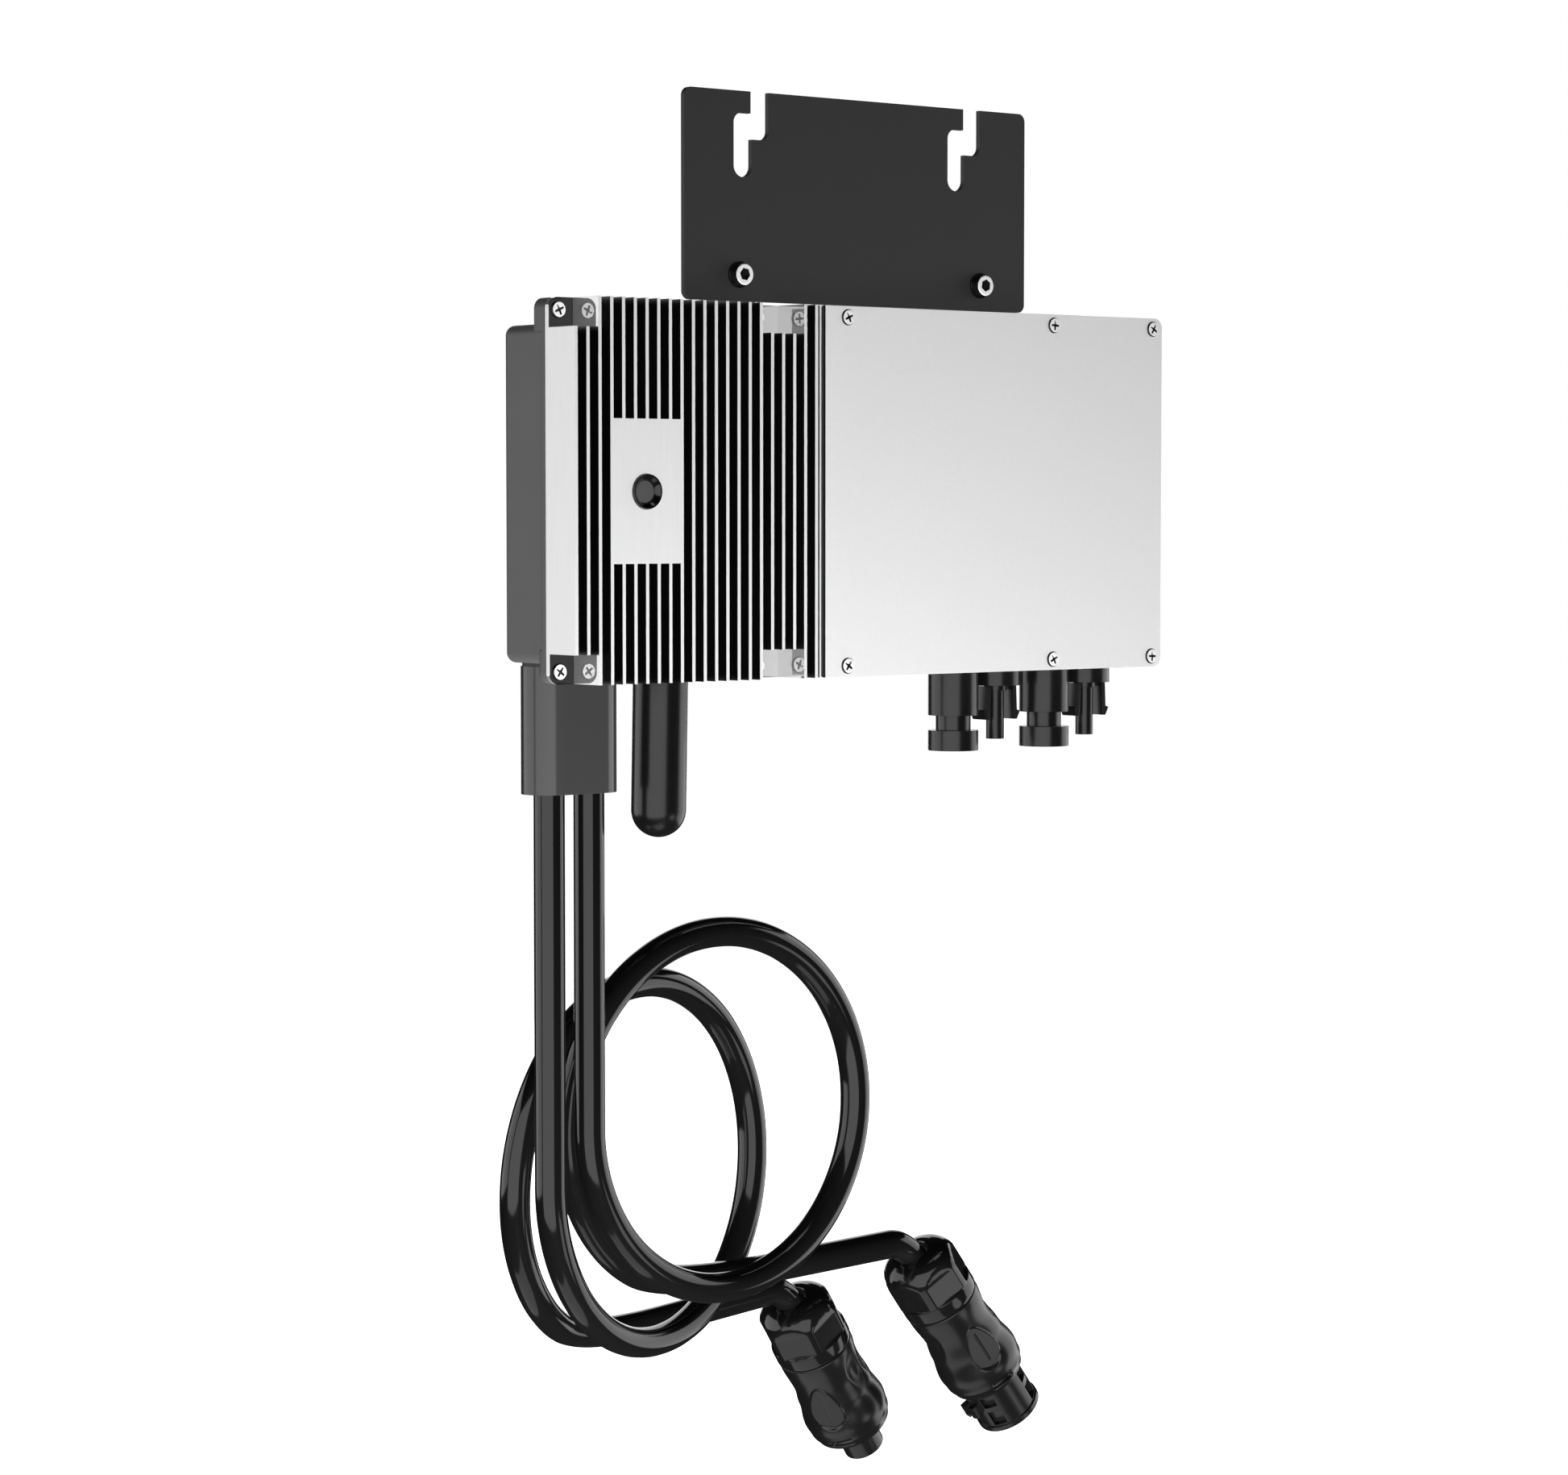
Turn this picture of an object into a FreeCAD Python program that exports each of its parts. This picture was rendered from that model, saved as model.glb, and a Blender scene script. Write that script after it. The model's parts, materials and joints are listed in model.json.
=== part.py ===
"""Solar micro inverter that hangs on a rail by a two-hook bracket, with two AC leads.

Frame: millimetres, +Z up, the finned front faces -Y, +X to the right seen from the front.
The origin is midway between the two hook seats, on the bracket's back face.
"""
import FreeCAD
import Part
import math
import os
import re
import Sketcher

Vector = FreeCAD.Vector
UP = Vector(0, 0, 1)
DOWN = Vector(0, 0, -1)
FRONT = Vector(0, -1, 0)
BACK = Vector(0, 1, 0)

doc = FreeCAD.newDocument("micro_inverter")

# ---------------------------------------------------------------- driving dimensions
SIZES = {
    # outline of the cast body, seen from the front
    "body_left": -134.2, "body_width": 275.5, "body_top": -48.7, "body_high": 132.0,
    # depths, from the fin tips at the front to the rear wall
    "tip_face": -17.0, "floor_face": -2.0, "rim_face": -14.5, "cover_back": -15.0,
    "flange_front": 0.5, "flange_back": 2.6, "ear_back": 6.5, "shell_back": 27.5,
    "wall": 2.5,
    # cooling fins
    "fin_pitch": 5.0, "fin_thick": 1.3, "fin_count": 22,
    "recess_high": 10.4, "pad_first": 3, "pad_last": 9, "pad_half": 24.8,
    "screw_inset": 8.5, "left_screw_x": -130.2, "mid_screw_x": -43.6, "casting_hole": 2.0,
    # terminal chamber and its cover
    "chamber_left": -25.5, "cover_left": -24.4, "cover_round": 3.7,
    "cover_screw_1": -14.2, "cover_screw_2": 85.5, "cover_screw_3": 136.4,
    "cover_inset": 4.0, "boss_round": 3.6, "cover_hole": 1.6,
    # rear shell
    "shell_inset": 1.2, "shell_top": -57.5, "shell_bottom": -174.0, "shell_round": 3.5,
    "ear_wide": 14.0, "ear_high": 11.5, "ear_round": 3.8,
    # bracket
    "bracket_middle": 4.1, "bracket_wide": 160.0, "bracket_low": -47.6, "bracket_high": 73.7,
    "bracket_thick": 2.0, "bracket_round": 3.0,
    "hook_gap": 100.0, "hook_round": 4.05, "seat_top": 18.4, "entry_shift": 7.6,
    "ledge": 9.3, "hook_corner": 3.4,
    "bracket_screw_gap": 113.6, "bracket_screw_x": -51.9, "bracket_screw_z": -38.3,
    "bracket_bolt": 2.5, "lug_wide": 18.0, "lug_back": 8.0, "lug_top": -29.0,
    # status lamp
    "lamp_x": -103.9, "lamp_z": -114.8, "lamp_hole": 5.0, "bezel_round": 6.25,
    "bezel_proud": 1.1, "lens_round": 3.75, "lens_sunk": 0.8,
    # parts that hang under the rear shell
    "outlet_y": 16.5, "cable_1_x": -121.4, "cable_gap": 17.1, "sleeve_round": 9.8,
    "sleeve_end": -219.6, "sleeve_socket": 6.0,
    "antenna_x": -72.7, "antenna_round": 9.85, "antenna_end": -237.2, "antenna_top": -178.3,
    "antenna_lean": 1.16,
    "pv_y": 13.0, "pv_first_x": 62.5, "pv_pair_gap": 21.15, "pv_group_gap": 46.25,
    "pv_round": 9.5, "pv_neck": 6.6, "pv_neck_top": -198.0, "pv_collar_top": -203.6,
    "pv_socket_end": -211.2, "pv_bore": 4.2, "pv_bore_deep": 16.0,
    "pv_block_end": -187.3, "pv_tube": 3.4, "pv_tube_end": -207.6, "pv_contact": 2.0,
    "pv_shank": 5.8, "pv_shank_top": -164.0,
    "latch_inset": 5.7, "latch_thick": 1.5, "latch_wide": 8.0, "latch_long": 12.6,
    "latch_gap": 0.3, "latch_barb": 1.5, "latch_lean": 0.4,
    # AC leads
    "cable_round": 5.5, "gland_deep": 10.0, "gland_stand_off": 6.0,
    # circuit
    "board_left": -124.0, "board_right": 131.0, "board_low": -156.0, "board_top": -66.0,
    "board_front": 11.0, "board_thick": 1.6,
}

sheet = doc.addObject("Spreadsheet::Sheet", "Sizes")
for row, (alias, value) in enumerate(SIZES.items(), start=1):
    sheet.set("A%d" % row, alias)
    sheet.set("B%d" % row, str(value))
    sheet.setAlias("B%d" % row, alias)
doc.recompute()

pieces = []


def size(alias):
    """The value of one cell of the sheet."""
    return float(sheet.get(alias))


def bound(text):
    """An expression over the sheet's cells, from text that names them plainly."""
    return re.sub(r"[a-z]\w*", lambda word: "Sizes." + word.group(), str(text))


def bind(obj, **expressions):
    """Tie properties of an object to the sheet."""
    for name, text in expressions.items():
        obj.setExpression(name, bound(text))


def place(obj, at):
    """Tie an object's position to the sheet."""
    for axis, text in zip("xyz", at):
        obj.setExpression("Placement.Base." + axis, bound(text))


def piece(obj, label):
    """Name a finished piece; its label is its file's name."""
    obj.Label = label
    pieces.append(obj)
    return obj


# ---------------------------------------------------------------- solids from primitives
def block(low, high):
    """A box between two corners."""
    box = doc.addObject("Part::Box", "Block")
    spans = ["(%s) - (%s)" % (b, a) for a, b in zip(low, high)]
    bind(box, Length=spans[0], Width=spans[1], Height=spans[2])
    place(box, low)
    return box


def rod(foot, radius, long, direction=UP):
    """A cylinder from its foot along a direction."""
    cylinder = doc.addObject("Part::Cylinder", "Rod")
    cylinder.Placement = FreeCAD.Placement(Vector(), FreeCAD.Rotation(UP, direction))
    bind(cylinder, Radius=radius, Height=long)
    place(cylinder, foot)
    return cylinder


def cone(foot, first, last, long, direction=UP):
    """A truncated cone from its foot along a direction."""
    solid = doc.addObject("Part::Cone", "Cone")
    solid.Placement = FreeCAD.Placement(Vector(), FreeCAD.Rotation(UP, direction))
    bind(solid, Radius1=first, Radius2=last, Height=long)
    place(solid, foot)
    return solid


def hexagon(foot, radius, long, direction=UP):
    """A hexagonal prism from its foot along a direction."""
    prism = doc.addObject("Part::Prism", "Hexagon")
    prism.Polygon = 6
    prism.Placement = FreeCAD.Placement(Vector(), FreeCAD.Rotation(UP, direction))
    bind(prism, Circumradius=radius, Height=long)
    place(prism, foot)
    return prism


def joined(*solids):
    """One solid out of several that meet."""
    union = doc.addObject("Part::MultiFuse", "Joined")
    union.Shapes = list(solids)
    union.Refine = True
    return union


def less(base, *tools):
    """A solid with others taken away from it."""
    tool = tools[0] if len(tools) == 1 else joined(*tools)
    result = doc.addObject("Part::Cut", "Less")
    result.Base = base
    result.Tool = tool
    result.Refine = True
    return result


def group(*solids):
    """Separate identical solids that share one node."""
    compound = doc.addObject("Part::Compound", "Group")
    compound.Links = list(solids)
    return compound


# ---------------------------------------------------------------- sketched bodies
ROLES = {"front": "XZ_Plane", "side": "YZ_Plane", "level": "XY_Plane"}
NORMAL_SIGN = {"front": "-1 * ", "side": "", "level": ""}


def new_body(name):
    return doc.addObject("PartDesign::Body", name)


def plane_of(body, role):
    return next(item for item in body.Origin.OriginFeatures if item.Role == ROLES[role])


def new_sketch(body, name, role, offset):
    """A sketch on one of the body's own origin planes, moved along the plane's normal."""
    sketch = body.newObject("Sketcher::SketchObject", name)
    sketch.AttachmentSupport = [(plane_of(body, role), "")]
    sketch.MapMode = "FlatFace"
    sketch.setExpression("AttachmentOffset.Base.z", bound("%s(%s)" % (NORMAL_SIGN[role], offset)))
    return sketch


def pin_point(sketch, curve, point, across, along):
    """Hold one point of a curve at a place given by two expressions."""
    for kind, text in (("DistanceX", across), ("DistanceY", along)):
        index = sketch.addConstraint(Sketcher.Constraint(kind, -1, 1, curve, point, 1.0))
        sketch.setExpression("Constraints[%d]" % index, bound(text))


def add_polygon(sketch, corners):
    """A closed outline of straight lines through corners given as expressions."""
    count = len(corners)
    angles = [2 * math.pi * k / count for k in range(count)]
    rough = [Vector(math.cos(a), math.sin(a), 0) for a in angles]
    first = sketch.GeometryCount
    for k in range(count):
        sketch.addGeometry(Part.LineSegment(rough[k], rough[(k + 1) % count]))
    for k in range(count):
        follower = first + (k + 1) % count
        sketch.addConstraint(Sketcher.Constraint("Coincident", first + k, 2, follower, 1))
    for k, (across, along) in enumerate(corners):
        pin_point(sketch, first + k, 1, across, along)


def add_rectangle(sketch, low, high):
    add_polygon(sketch, [(low[0], low[1]), (high[0], low[1]), (high[0], high[1]), (low[0], high[1])])


def add_circle(sketch, centre, radius):
    curve = sketch.addGeometry(Part.Circle(Vector(0, 0, 0), Vector(0, 0, 1), 1.0))
    pin_point(sketch, curve, 3, centre[0], centre[1])
    index = sketch.addConstraint(Sketcher.Constraint("Radius", curve, 1.0))
    sketch.setExpression("Constraints[%d]" % index, bound(radius))


def pad(body, sketch, long, midplane=False):
    """Material from the sketch towards its plane's normal."""
    feature = body.newObject("PartDesign::Pad", "Pad")
    feature.Profile = sketch
    feature.Midplane = midplane
    bind(feature, Length=long)
    body.Tip = feature
    doc.recompute()
    return feature


def pocket(body, sketch, long=None):
    """A cut from the sketch against its plane's normal, or right through both ways."""
    before = body.Shape.Volume
    feature = body.newObject("PartDesign::Pocket", "Pocket")
    feature.Profile = sketch
    if long is None:
        feature.Type = "ThroughAll"
        feature.Midplane = True
    else:
        bind(feature, Length=long)
    body.Tip = feature
    doc.recompute()
    if body.Shape.Volume >= before - 1e-6:
        raise RuntimeError("a pocket of %s cuts nothing" % body.Name)
    return feature


def row_of(body, features, long, count):
    """Repeat features along +X."""
    pattern = body.newObject("PartDesign::LinearPattern", "Pattern")
    pattern.Originals = features
    pattern.Direction = (features[0].Profile[0], ["H_Axis"])
    bind(pattern, Length=long, Occurrences=count)
    body.Tip = pattern
    doc.recompute()
    return pattern


def round_edges(body, radius, wanted):
    """Fillet the edges of the body that a test picks out."""
    base = body.Tip
    names = ["Edge%d" % (k + 1) for k, edge in enumerate(base.Shape.Edges) if wanted(edge)]
    if not names:
        raise RuntimeError("no edge of %s to round" % body.Name)
    feature = body.newObject("PartDesign::Fillet", "Fillet")
    feature.Base = (base, names)
    bind(feature, Radius=radius)
    body.Tip = feature
    doc.recompute()
    return feature


def rounded_solid(solid, name, radius, wanted):
    """Fillet on the wanted edges of a plain solid."""
    rounded = doc.addObject("Part::Fillet", name)
    rounded.Base = solid
    doc.recompute()
    rounded.Edges = [
        (k + 1, size(radius), size(radius)) for k, edge in enumerate(solid.Shape.Edges) if wanted(edge)
    ]
    return rounded


def runs_along(edge, direction):
    """Whether an edge is straight and runs along a direction."""
    if edge.Degenerated or len(edge.Vertexes) < 2:
        return False
    span = edge.Vertexes[1].Point - edge.Vertexes[0].Point
    straight = abs(span.Length - edge.Length) < 1e-6
    return straight and abs(abs(span.dot(direction)) - span.Length) < 1e-6


def is_at(edge, x=None, y=None, z=None):
    """Whether an edge's middle lies at the given coordinates."""
    middle = edge.CenterOfMass
    wanted = zip((x, y, z), (middle.x, middle.y, middle.z))
    return all(a is None or abs(a - b) < 0.05 for a, b in wanted)


# ---------------------------------------------------------------- shared places
def is_outer_corner(edge, inset=0.0):
    """An edge from front to back at one of the four corners of the outline."""
    left = size("body_left") + inset
    right = size("body_left") + size("body_width") - inset
    top = size("body_top") - inset
    low = size("body_top") - size("body_high") + inset
    return (
        runs_along(edge, BACK)
        and (is_at(edge, x=left) or is_at(edge, x=right))
        and (is_at(edge, z=top) or is_at(edge, z=low))
    )


BODY_RIGHT = "body_left + body_width"
BODY_LOW = "body_top - body_high"
SCREW_ROWS = ("body_top - %s", "body_top - body_high + %s")
COVER_SCREW_COLUMNS = ("cover_screw_1", "cover_screw_2", "cover_screw_3")
CASTING_SCREW_COLUMNS = ("left_screw_x", "mid_screw_x")
CASTING_ROWS = [text % "screw_inset / 2" for text in SCREW_ROWS]
COVER_ROWS = [text % "cover_inset" for text in SCREW_ROWS]
CASTING_SCREWS = [(x, z) for x in CASTING_SCREW_COLUMNS for z in CASTING_ROWS]
COVER_SCREWS = [(x, z) for x in COVER_SCREW_COLUMNS for z in COVER_ROWS]
BRACKET_SCREWS = ("bracket_screw_x", "bracket_screw_x + bracket_screw_gap")
PV_SOCKETS = ("pv_first_x", "pv_first_x + pv_group_gap")
PV_PLUGS = ("pv_first_x + pv_pair_gap", "pv_first_x + pv_group_gap + pv_pair_gap")
SHELL_LEFT = "body_left + shell_inset"
SHELL_RIGHT = "body_left + body_width - shell_inset"


# ---------------------------------------------------------------- casting, cover and shell
def make_front_casting():
    """Base plate, fins, lamp pad and the chamber frame, cast in one."""
    body = new_body("FrontCasting")
    base = new_sketch(body, "BaseOutline", "front", 0)
    add_rectangle(base, ("body_left", BODY_LOW), (BODY_RIGHT, "body_top"))
    pad(body, base, "0 - floor_face")
    fin = new_sketch(body, "FinOutline", "front", "floor_face + 0.5")
    add_rectangle(fin, ("body_left", BODY_LOW), ("body_left + fin_thick", "body_top"))
    fin_pad = pad(body, fin, "floor_face + 0.5 - tip_face")
    row_of(body, [fin_pad], "(fin_count - 1) * fin_pitch", "fin_count")
    lamp_pad = new_sketch(body, "LampPadOutline", "front", "floor_face + 0.5")
    middle = "body_top - body_high / 2"
    add_rectangle(
        lamp_pad,
        ("body_left + pad_first * fin_pitch", middle + " - pad_half"),
        ("body_left + pad_last * fin_pitch + fin_thick", middle + " + pad_half"),
    )
    pad(body, lamp_pad, "floor_face + 0.5 - tip_face")
    frame = new_sketch(body, "ChamberOutline", "front", "floor_face + 0.5")
    add_rectangle(frame, ("chamber_left", BODY_LOW), (BODY_RIGHT, "body_top"))
    add_rectangle(
        frame,
        ("chamber_left + wall", BODY_LOW + " + wall"),
        (BODY_RIGHT + " - wall", "body_top - wall"),
    )
    pad(body, frame, "floor_face + 0.5 - rim_face")
    bosses = new_sketch(body, "BossOutline", "front", "floor_face + 0.5")
    for centre in COVER_SCREWS:
        add_circle(bosses, centre, "boss_round")
    pad(body, bosses, "floor_face + 0.5 - rim_face")
    recess = new_sketch(body, "RecessOutline", "front", "tip_face - 1")
    columns = (
        ("body_left - 1", "body_left + 2 * fin_pitch"),
        ("body_left + 16 * fin_pitch + fin_thick", "body_left + 20 * fin_pitch"),
    )
    for left, right in columns:
        add_rectangle(recess, (left, "body_top - recess_high"), (right, "body_top + 1"))
        add_rectangle(recess, (left, BODY_LOW + " - 1"), (right, BODY_LOW + " + recess_high"))
    pocket(body, recess, "floor_face - tip_face + 1")
    holes = new_sketch(body, "CastingHoles", "front", 0)
    for centre in CASTING_SCREWS:
        add_circle(holes, centre, "casting_hole")
    add_circle(holes, ("lamp_x", "lamp_z"), "lamp_hole")
    pocket(body, holes)
    threads = new_sketch(body, "CoverThreads", "front", "rim_face")
    for centre in COVER_SCREWS:
        add_circle(threads, centre, "cover_hole - 0.3")
    pocket(body, threads, 8)
    round_edges(body, "cover_round", is_outer_corner)
    return piece(body, "front_casting")


def make_front_cover():
    """Flat plate on the chamber, with six screw holes and two round corners."""
    body = new_body("FrontCover")
    outline = new_sketch(body, "CoverOutline", "front", "cover_back")
    add_rectangle(outline, ("cover_left", BODY_LOW), (BODY_RIGHT, "body_top"))
    pad(body, outline, "cover_back - tip_face")
    holes = new_sketch(body, "CoverHoles", "front", "tip_face")
    for centre in COVER_SCREWS:
        add_circle(holes, centre, "cover_hole")
    pocket(body, holes)
    right = size("body_left") + size("body_width")
    round_edges(body, "cover_round", lambda edge: runs_along(edge, BACK) and is_at(edge, x=right))
    return piece(body, "front_cover")


def make_cover_gasket():
    """Flat ring between the chamber's rim and its cover."""
    outer = block(
        ("cover_left", "cover_back", BODY_LOW + " + 0.3"),
        (BODY_RIGHT + " - 0.3", "rim_face", "body_top - 0.3"),
    )
    inner = block(
        ("chamber_left + wall + 5", "cover_back - 1", BODY_LOW + " + wall + 5"),
        (BODY_RIGHT + " - wall - 5", "rim_face + 1", "body_top - wall - 5"),
    )
    holes = [rod((x, "cover_back - 1", z), "cover_hole", 3, BACK) for x, z in COVER_SCREWS]
    right = size("body_left") + size("body_width")
    corners = less(outer, inner, *holes)
    rounded = doc.addObject("Part::Fillet", "GasketCorners")
    rounded.Base = corners
    doc.recompute()
    shape = corners.Shape
    rounded.Edges = [
        (k + 1, size("cover_round"), size("cover_round"))
        for k, edge in enumerate(shape.Edges)
        if runs_along(edge, BACK) and is_at(edge, x=right - 0.3)
    ]
    return piece(rounded, "cover_gasket")


def pan_screw(x, face, z, head, shank, long):
    """Cross-recess screw whose head stands in front of a face and whose shank goes back."""
    dome = cone((x, face, z), head, "(%s) * 0.9" % head, 0.8, FRONT)
    stem = rod((x, face, z), shank, long, BACK)
    slots = [
        block(
            ("%s - %s" % (x, a), "(%s) - 1.2" % face, "%s - %s" % (z, b)),
            ("%s + %s" % (x, a), "(%s) - 0.2" % face, "%s + %s" % (z, b)),
        )
        for a, b in ((1.7, 0.32), (0.32, 1.7))
    ]
    return less(joined(dome, stem), *slots)


def make_cover_screws():
    screws = [pan_screw(x, "tip_face", z, 2.9, "cover_hole - 0.3", 9) for x, z in COVER_SCREWS]
    return piece(group(*screws), "cover_screws")


def make_casting_screws():
    screws = [pan_screw(x, "floor_face", z, 2.95, "casting_hole - 0.35", 7) for x, z in CASTING_SCREWS]
    return piece(group(*screws), "casting_screws")


def oblong(radius, low, high):
    """Upright bar of stadium section round the two cable places."""
    long = "(%s) - (%s)" % (high, low)
    ends = [rod((x, "outlet_y", low), radius, long) for x in ("cable_1_x", "cable_1_x + cable_gap")]
    middle = block(
        ("cable_1_x", "outlet_y - (%s)" % radius, low),
        ("cable_1_x + cable_gap", "outlet_y + (%s)" % radius, high),
    )
    return joined(middle, *ends)


def make_rear_housing():
    """Open-fronted shell with a flange, screw ears and two bracket lugs."""
    shell = new_body("RearShell")
    outline = new_sketch(shell, "ShellOutline", "front", "shell_back")
    add_rectangle(outline, (SHELL_LEFT, "shell_bottom"), (SHELL_RIGHT, "shell_top"))
    pad(shell, outline, "shell_back - flange_front")
    back = size("shell_back")
    round_edges(
        shell,
        "shell_round",
        lambda edge: is_at(edge, y=back) or runs_along(edge, BACK),
    )
    flange = block(("body_left", "flange_front", BODY_LOW), (BODY_RIGHT, "flange_back", "body_top"))
    ears = []
    for left in ("body_left", "mid_screw_x - ear_wide / 2"):
        right = "%s + ear_wide" % left
        spans = (("body_top - ear_high", "body_top"), (BODY_LOW, BODY_LOW + " + ear_high"))
        ears += [block((left, "flange_front", low), (right, "ear_back", high)) for low, high in spans]
    lugs = []
    for x in BRACKET_SCREWS:
        low, high = "%s - lug_wide / 2" % x, "%s + lug_wide / 2" % x
        lugs.append(block((low, 0, "body_top + 0.2"), (high, "lug_back", "lug_top")))
        lugs.append(block((low, "flange_front", "shell_top - 3"), (high, "lug_back", "body_top + 0.3")))
    cavity = block(
        (SHELL_LEFT + " + wall", -1, "shell_bottom + wall"),
        (SHELL_RIGHT + " - wall", "shell_back - wall", "shell_top - wall"),
    )
    holes = [rod((x, -1, z), "casting_hole - 0.3", 9, BACK) for x, z in CASTING_SCREWS]
    holes += [rod((x, -1, "bracket_screw_z"), "bracket_bolt", 10, BACK) for x in BRACKET_SCREWS]
    floor = "shell_bottom - 1"
    holes += [rod((x, "pv_y", floor), "pv_shank + 0.05", "wall + 2") for x in PV_SOCKETS + PV_PLUGS]
    holes.append(rod(("antenna_x", "outlet_y", floor), 4.1, "wall + 2"))
    holes.append(oblong("sleeve_round - 2.7", floor, "shell_bottom + wall + 1"))
    solid = less(joined(shell, flange, *ears, *lugs), cavity, *holes)
    low_ear = size("body_top") - size("body_high")

    def is_low_ear_edge(edge):
        along = runs_along(edge, Vector(1, 0, 0))
        return along and is_at(edge, y=size("ear_back"), z=low_ear)

    cornered = rounded_solid(solid, "FlangeCorners", "cover_round", is_outer_corner)
    rounded = rounded_solid(cornered, "EarRounds", "ear_round", is_low_ear_edge)
    return piece(rounded, "rear_housing")


def make_housing_gasket():
    """Flat ring between the casting's back and the shell's flange."""
    sheet_block = block(
        ("body_left + 0.3", 0, BODY_LOW + " + 0.3"),
        (BODY_RIGHT + " - 0.3", "flange_front", "body_top - 0.3"),
    )
    outer = rounded_solid(
        sheet_block, "GasketCorners", "cover_round", lambda edge: is_outer_corner(edge, 0.3)
    )
    inner = block(
        (SHELL_LEFT + " + wall", -1, "shell_bottom + wall"),
        (SHELL_RIGHT + " - wall", "flange_front + 1", "shell_top - wall"),
    )
    holes = [rod((x, -1, z), "casting_hole", 3, BACK) for x, z in CASTING_SCREWS]
    return piece(less(outer, inner, *holes), "housing_gasket")


# ---------------------------------------------------------------- bracket
def make_bracket():
    """Sheet-metal plate with two bayonet hooks, open at its top edge."""
    body = new_body("Bracket")
    left = "bracket_middle - bracket_wide / 2"
    right = "bracket_middle + bracket_wide / 2"
    top = "bracket_low + bracket_high"
    outline = new_sketch(body, "BracketOutline", "front", 0)
    add_rectangle(outline, (left, "bracket_low"), (right, top))
    pad(body, outline, "bracket_thick")
    round_edges(body, "bracket_round", lambda edge: runs_along(edge, BACK))
    seat_x = "0 - hook_gap / 2"
    seat = new_sketch(body, "SeatOutline", "front", "0 - bracket_thick")
    add_rectangle(seat, (seat_x + " - hook_round", 0), (seat_x + " + hook_round", "seat_top"))
    seat_cut = pocket(body, seat)
    round_seat = new_sketch(body, "SeatRound", "front", "0 - bracket_thick")
    add_circle(round_seat, (seat_x, 0), "hook_round")
    round_cut = pocket(body, round_seat)
    entry = new_sketch(body, "EntryOutline", "front", "0 - bracket_thick")
    entry_left = seat_x + " + entry_shift - hook_round"
    add_rectangle(entry, (entry_left, "ledge"), (entry_left + " + 2 * hook_round", top + " + 1"))
    entry_cut = pocket(body, entry)
    for cut in (seat_cut, round_cut, entry_cut):
        pattern = body.newObject("PartDesign::LinearPattern", "HookPair")
        pattern.Originals = [cut]
        pattern.Direction = (cut.Profile[0], ["H_Axis"])
        pattern.Occurrences = 2
        bind(pattern, Length="hook_gap")
        body.Tip = pattern
        doc.recompute()
    seats = [-size("hook_gap") / 2, size("hook_gap") / 2]
    seat_edges = [x - size("hook_round") for x in seats]
    entry_edges = [x + size("entry_shift") + size("hook_round") for x in seats]

    def is_hook_corner(edge):
        upper = any(is_at(edge, x=x, z=size("seat_top")) for x in seat_edges)
        lower = any(is_at(edge, x=x, z=size("ledge")) for x in entry_edges)
        return runs_along(edge, BACK) and (upper or lower)

    round_edges(body, "hook_corner", is_hook_corner)
    holes = new_sketch(body, "BracketHoles", "front", "0 - bracket_thick")
    for x in BRACKET_SCREWS:
        add_circle(holes, (x, "bracket_screw_z"), "bracket_bolt + 0.25")
    pocket(body, holes)
    return piece(body, "mounting_bracket")


def make_bracket_fasteners():
    washers = []
    screws = []
    for x in BRACKET_SCREWS:
        at = (x, "0 - bracket_thick", "bracket_screw_z")
        ring = rod(at, 4.7, 0.9, FRONT)
        washers.append(less(ring, rod(at, "bracket_bolt + 0.05", 2, FRONT)))
        seat = (x, "0 - bracket_thick - 0.9", "bracket_screw_z")
        head = rod(seat, 3.75, 2.85, FRONT)
        stem = rod(seat, "bracket_bolt - 0.02", 10, BACK)
        socket = hexagon((x, "0 - bracket_thick - 6", "bracket_screw_z"), 2.2, 4.0, BACK)
        screws.append(less(joined(head, stem), socket))
    piece(group(*washers), "bracket_washers")
    piece(group(*screws), "bracket_screws")


# ---------------------------------------------------------------- status lamp
def make_lamp():
    """Black bezel through the pad with a smoked lens sunk in it, a seal and its light."""
    at = ("lamp_x", "tip_face", "lamp_z")
    collar = cone(at, "bezel_round", "bezel_round - 0.3", "bezel_proud", FRONT)
    stem = rod(at, "lamp_hole - 0.1", 9, BACK)
    front = ("lamp_x", "tip_face - bezel_proud - 1", "lamp_z")
    seat = rod(front, "lens_round + 0.05", "bezel_proud + 1 + 2.2", BACK)
    duct = rod(front, 2.8, 20, BACK)
    rim = ("lamp_x", "tip_face - bezel_proud", "lamp_z")
    mouth = cone(rim, "bezel_round - 0.85", "lamp_hole - 0.7", "bezel_proud", BACK)
    throat = cone(at, "lamp_hole - 0.7", "lens_round + 0.05", "lens_sunk", BACK)
    piece(less(joined(collar, stem), seat, duct, mouth, throat), "lamp_bezel")
    lens = rod(("lamp_x", "tip_face + lens_sunk", "lamp_z"), "lens_round", 1.3, BACK)
    piece(lens, "lamp_lens")
    seal = doc.addObject("Part::Torus", "LampSealRing")
    seal.Placement = FreeCAD.Placement(Vector(), FreeCAD.Rotation(UP, BACK))
    bind(seal, Radius1="lamp_hole - 1.2", Radius2=0.9)
    place(seal, ("lamp_x", "tip_face + 10", "lamp_z"))
    piece(seal, "lamp_seal")
    base = rod(("lamp_x", 3, "lamp_z"), 2.5, "board_front - 3", BACK)
    tip = doc.addObject("Part::Sphere", "LedTip")
    bind(tip, Radius=2.5)
    place(tip, ("lamp_x", 3, "lamp_z"))
    piece(joined(base, tip), "status_led")


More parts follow.
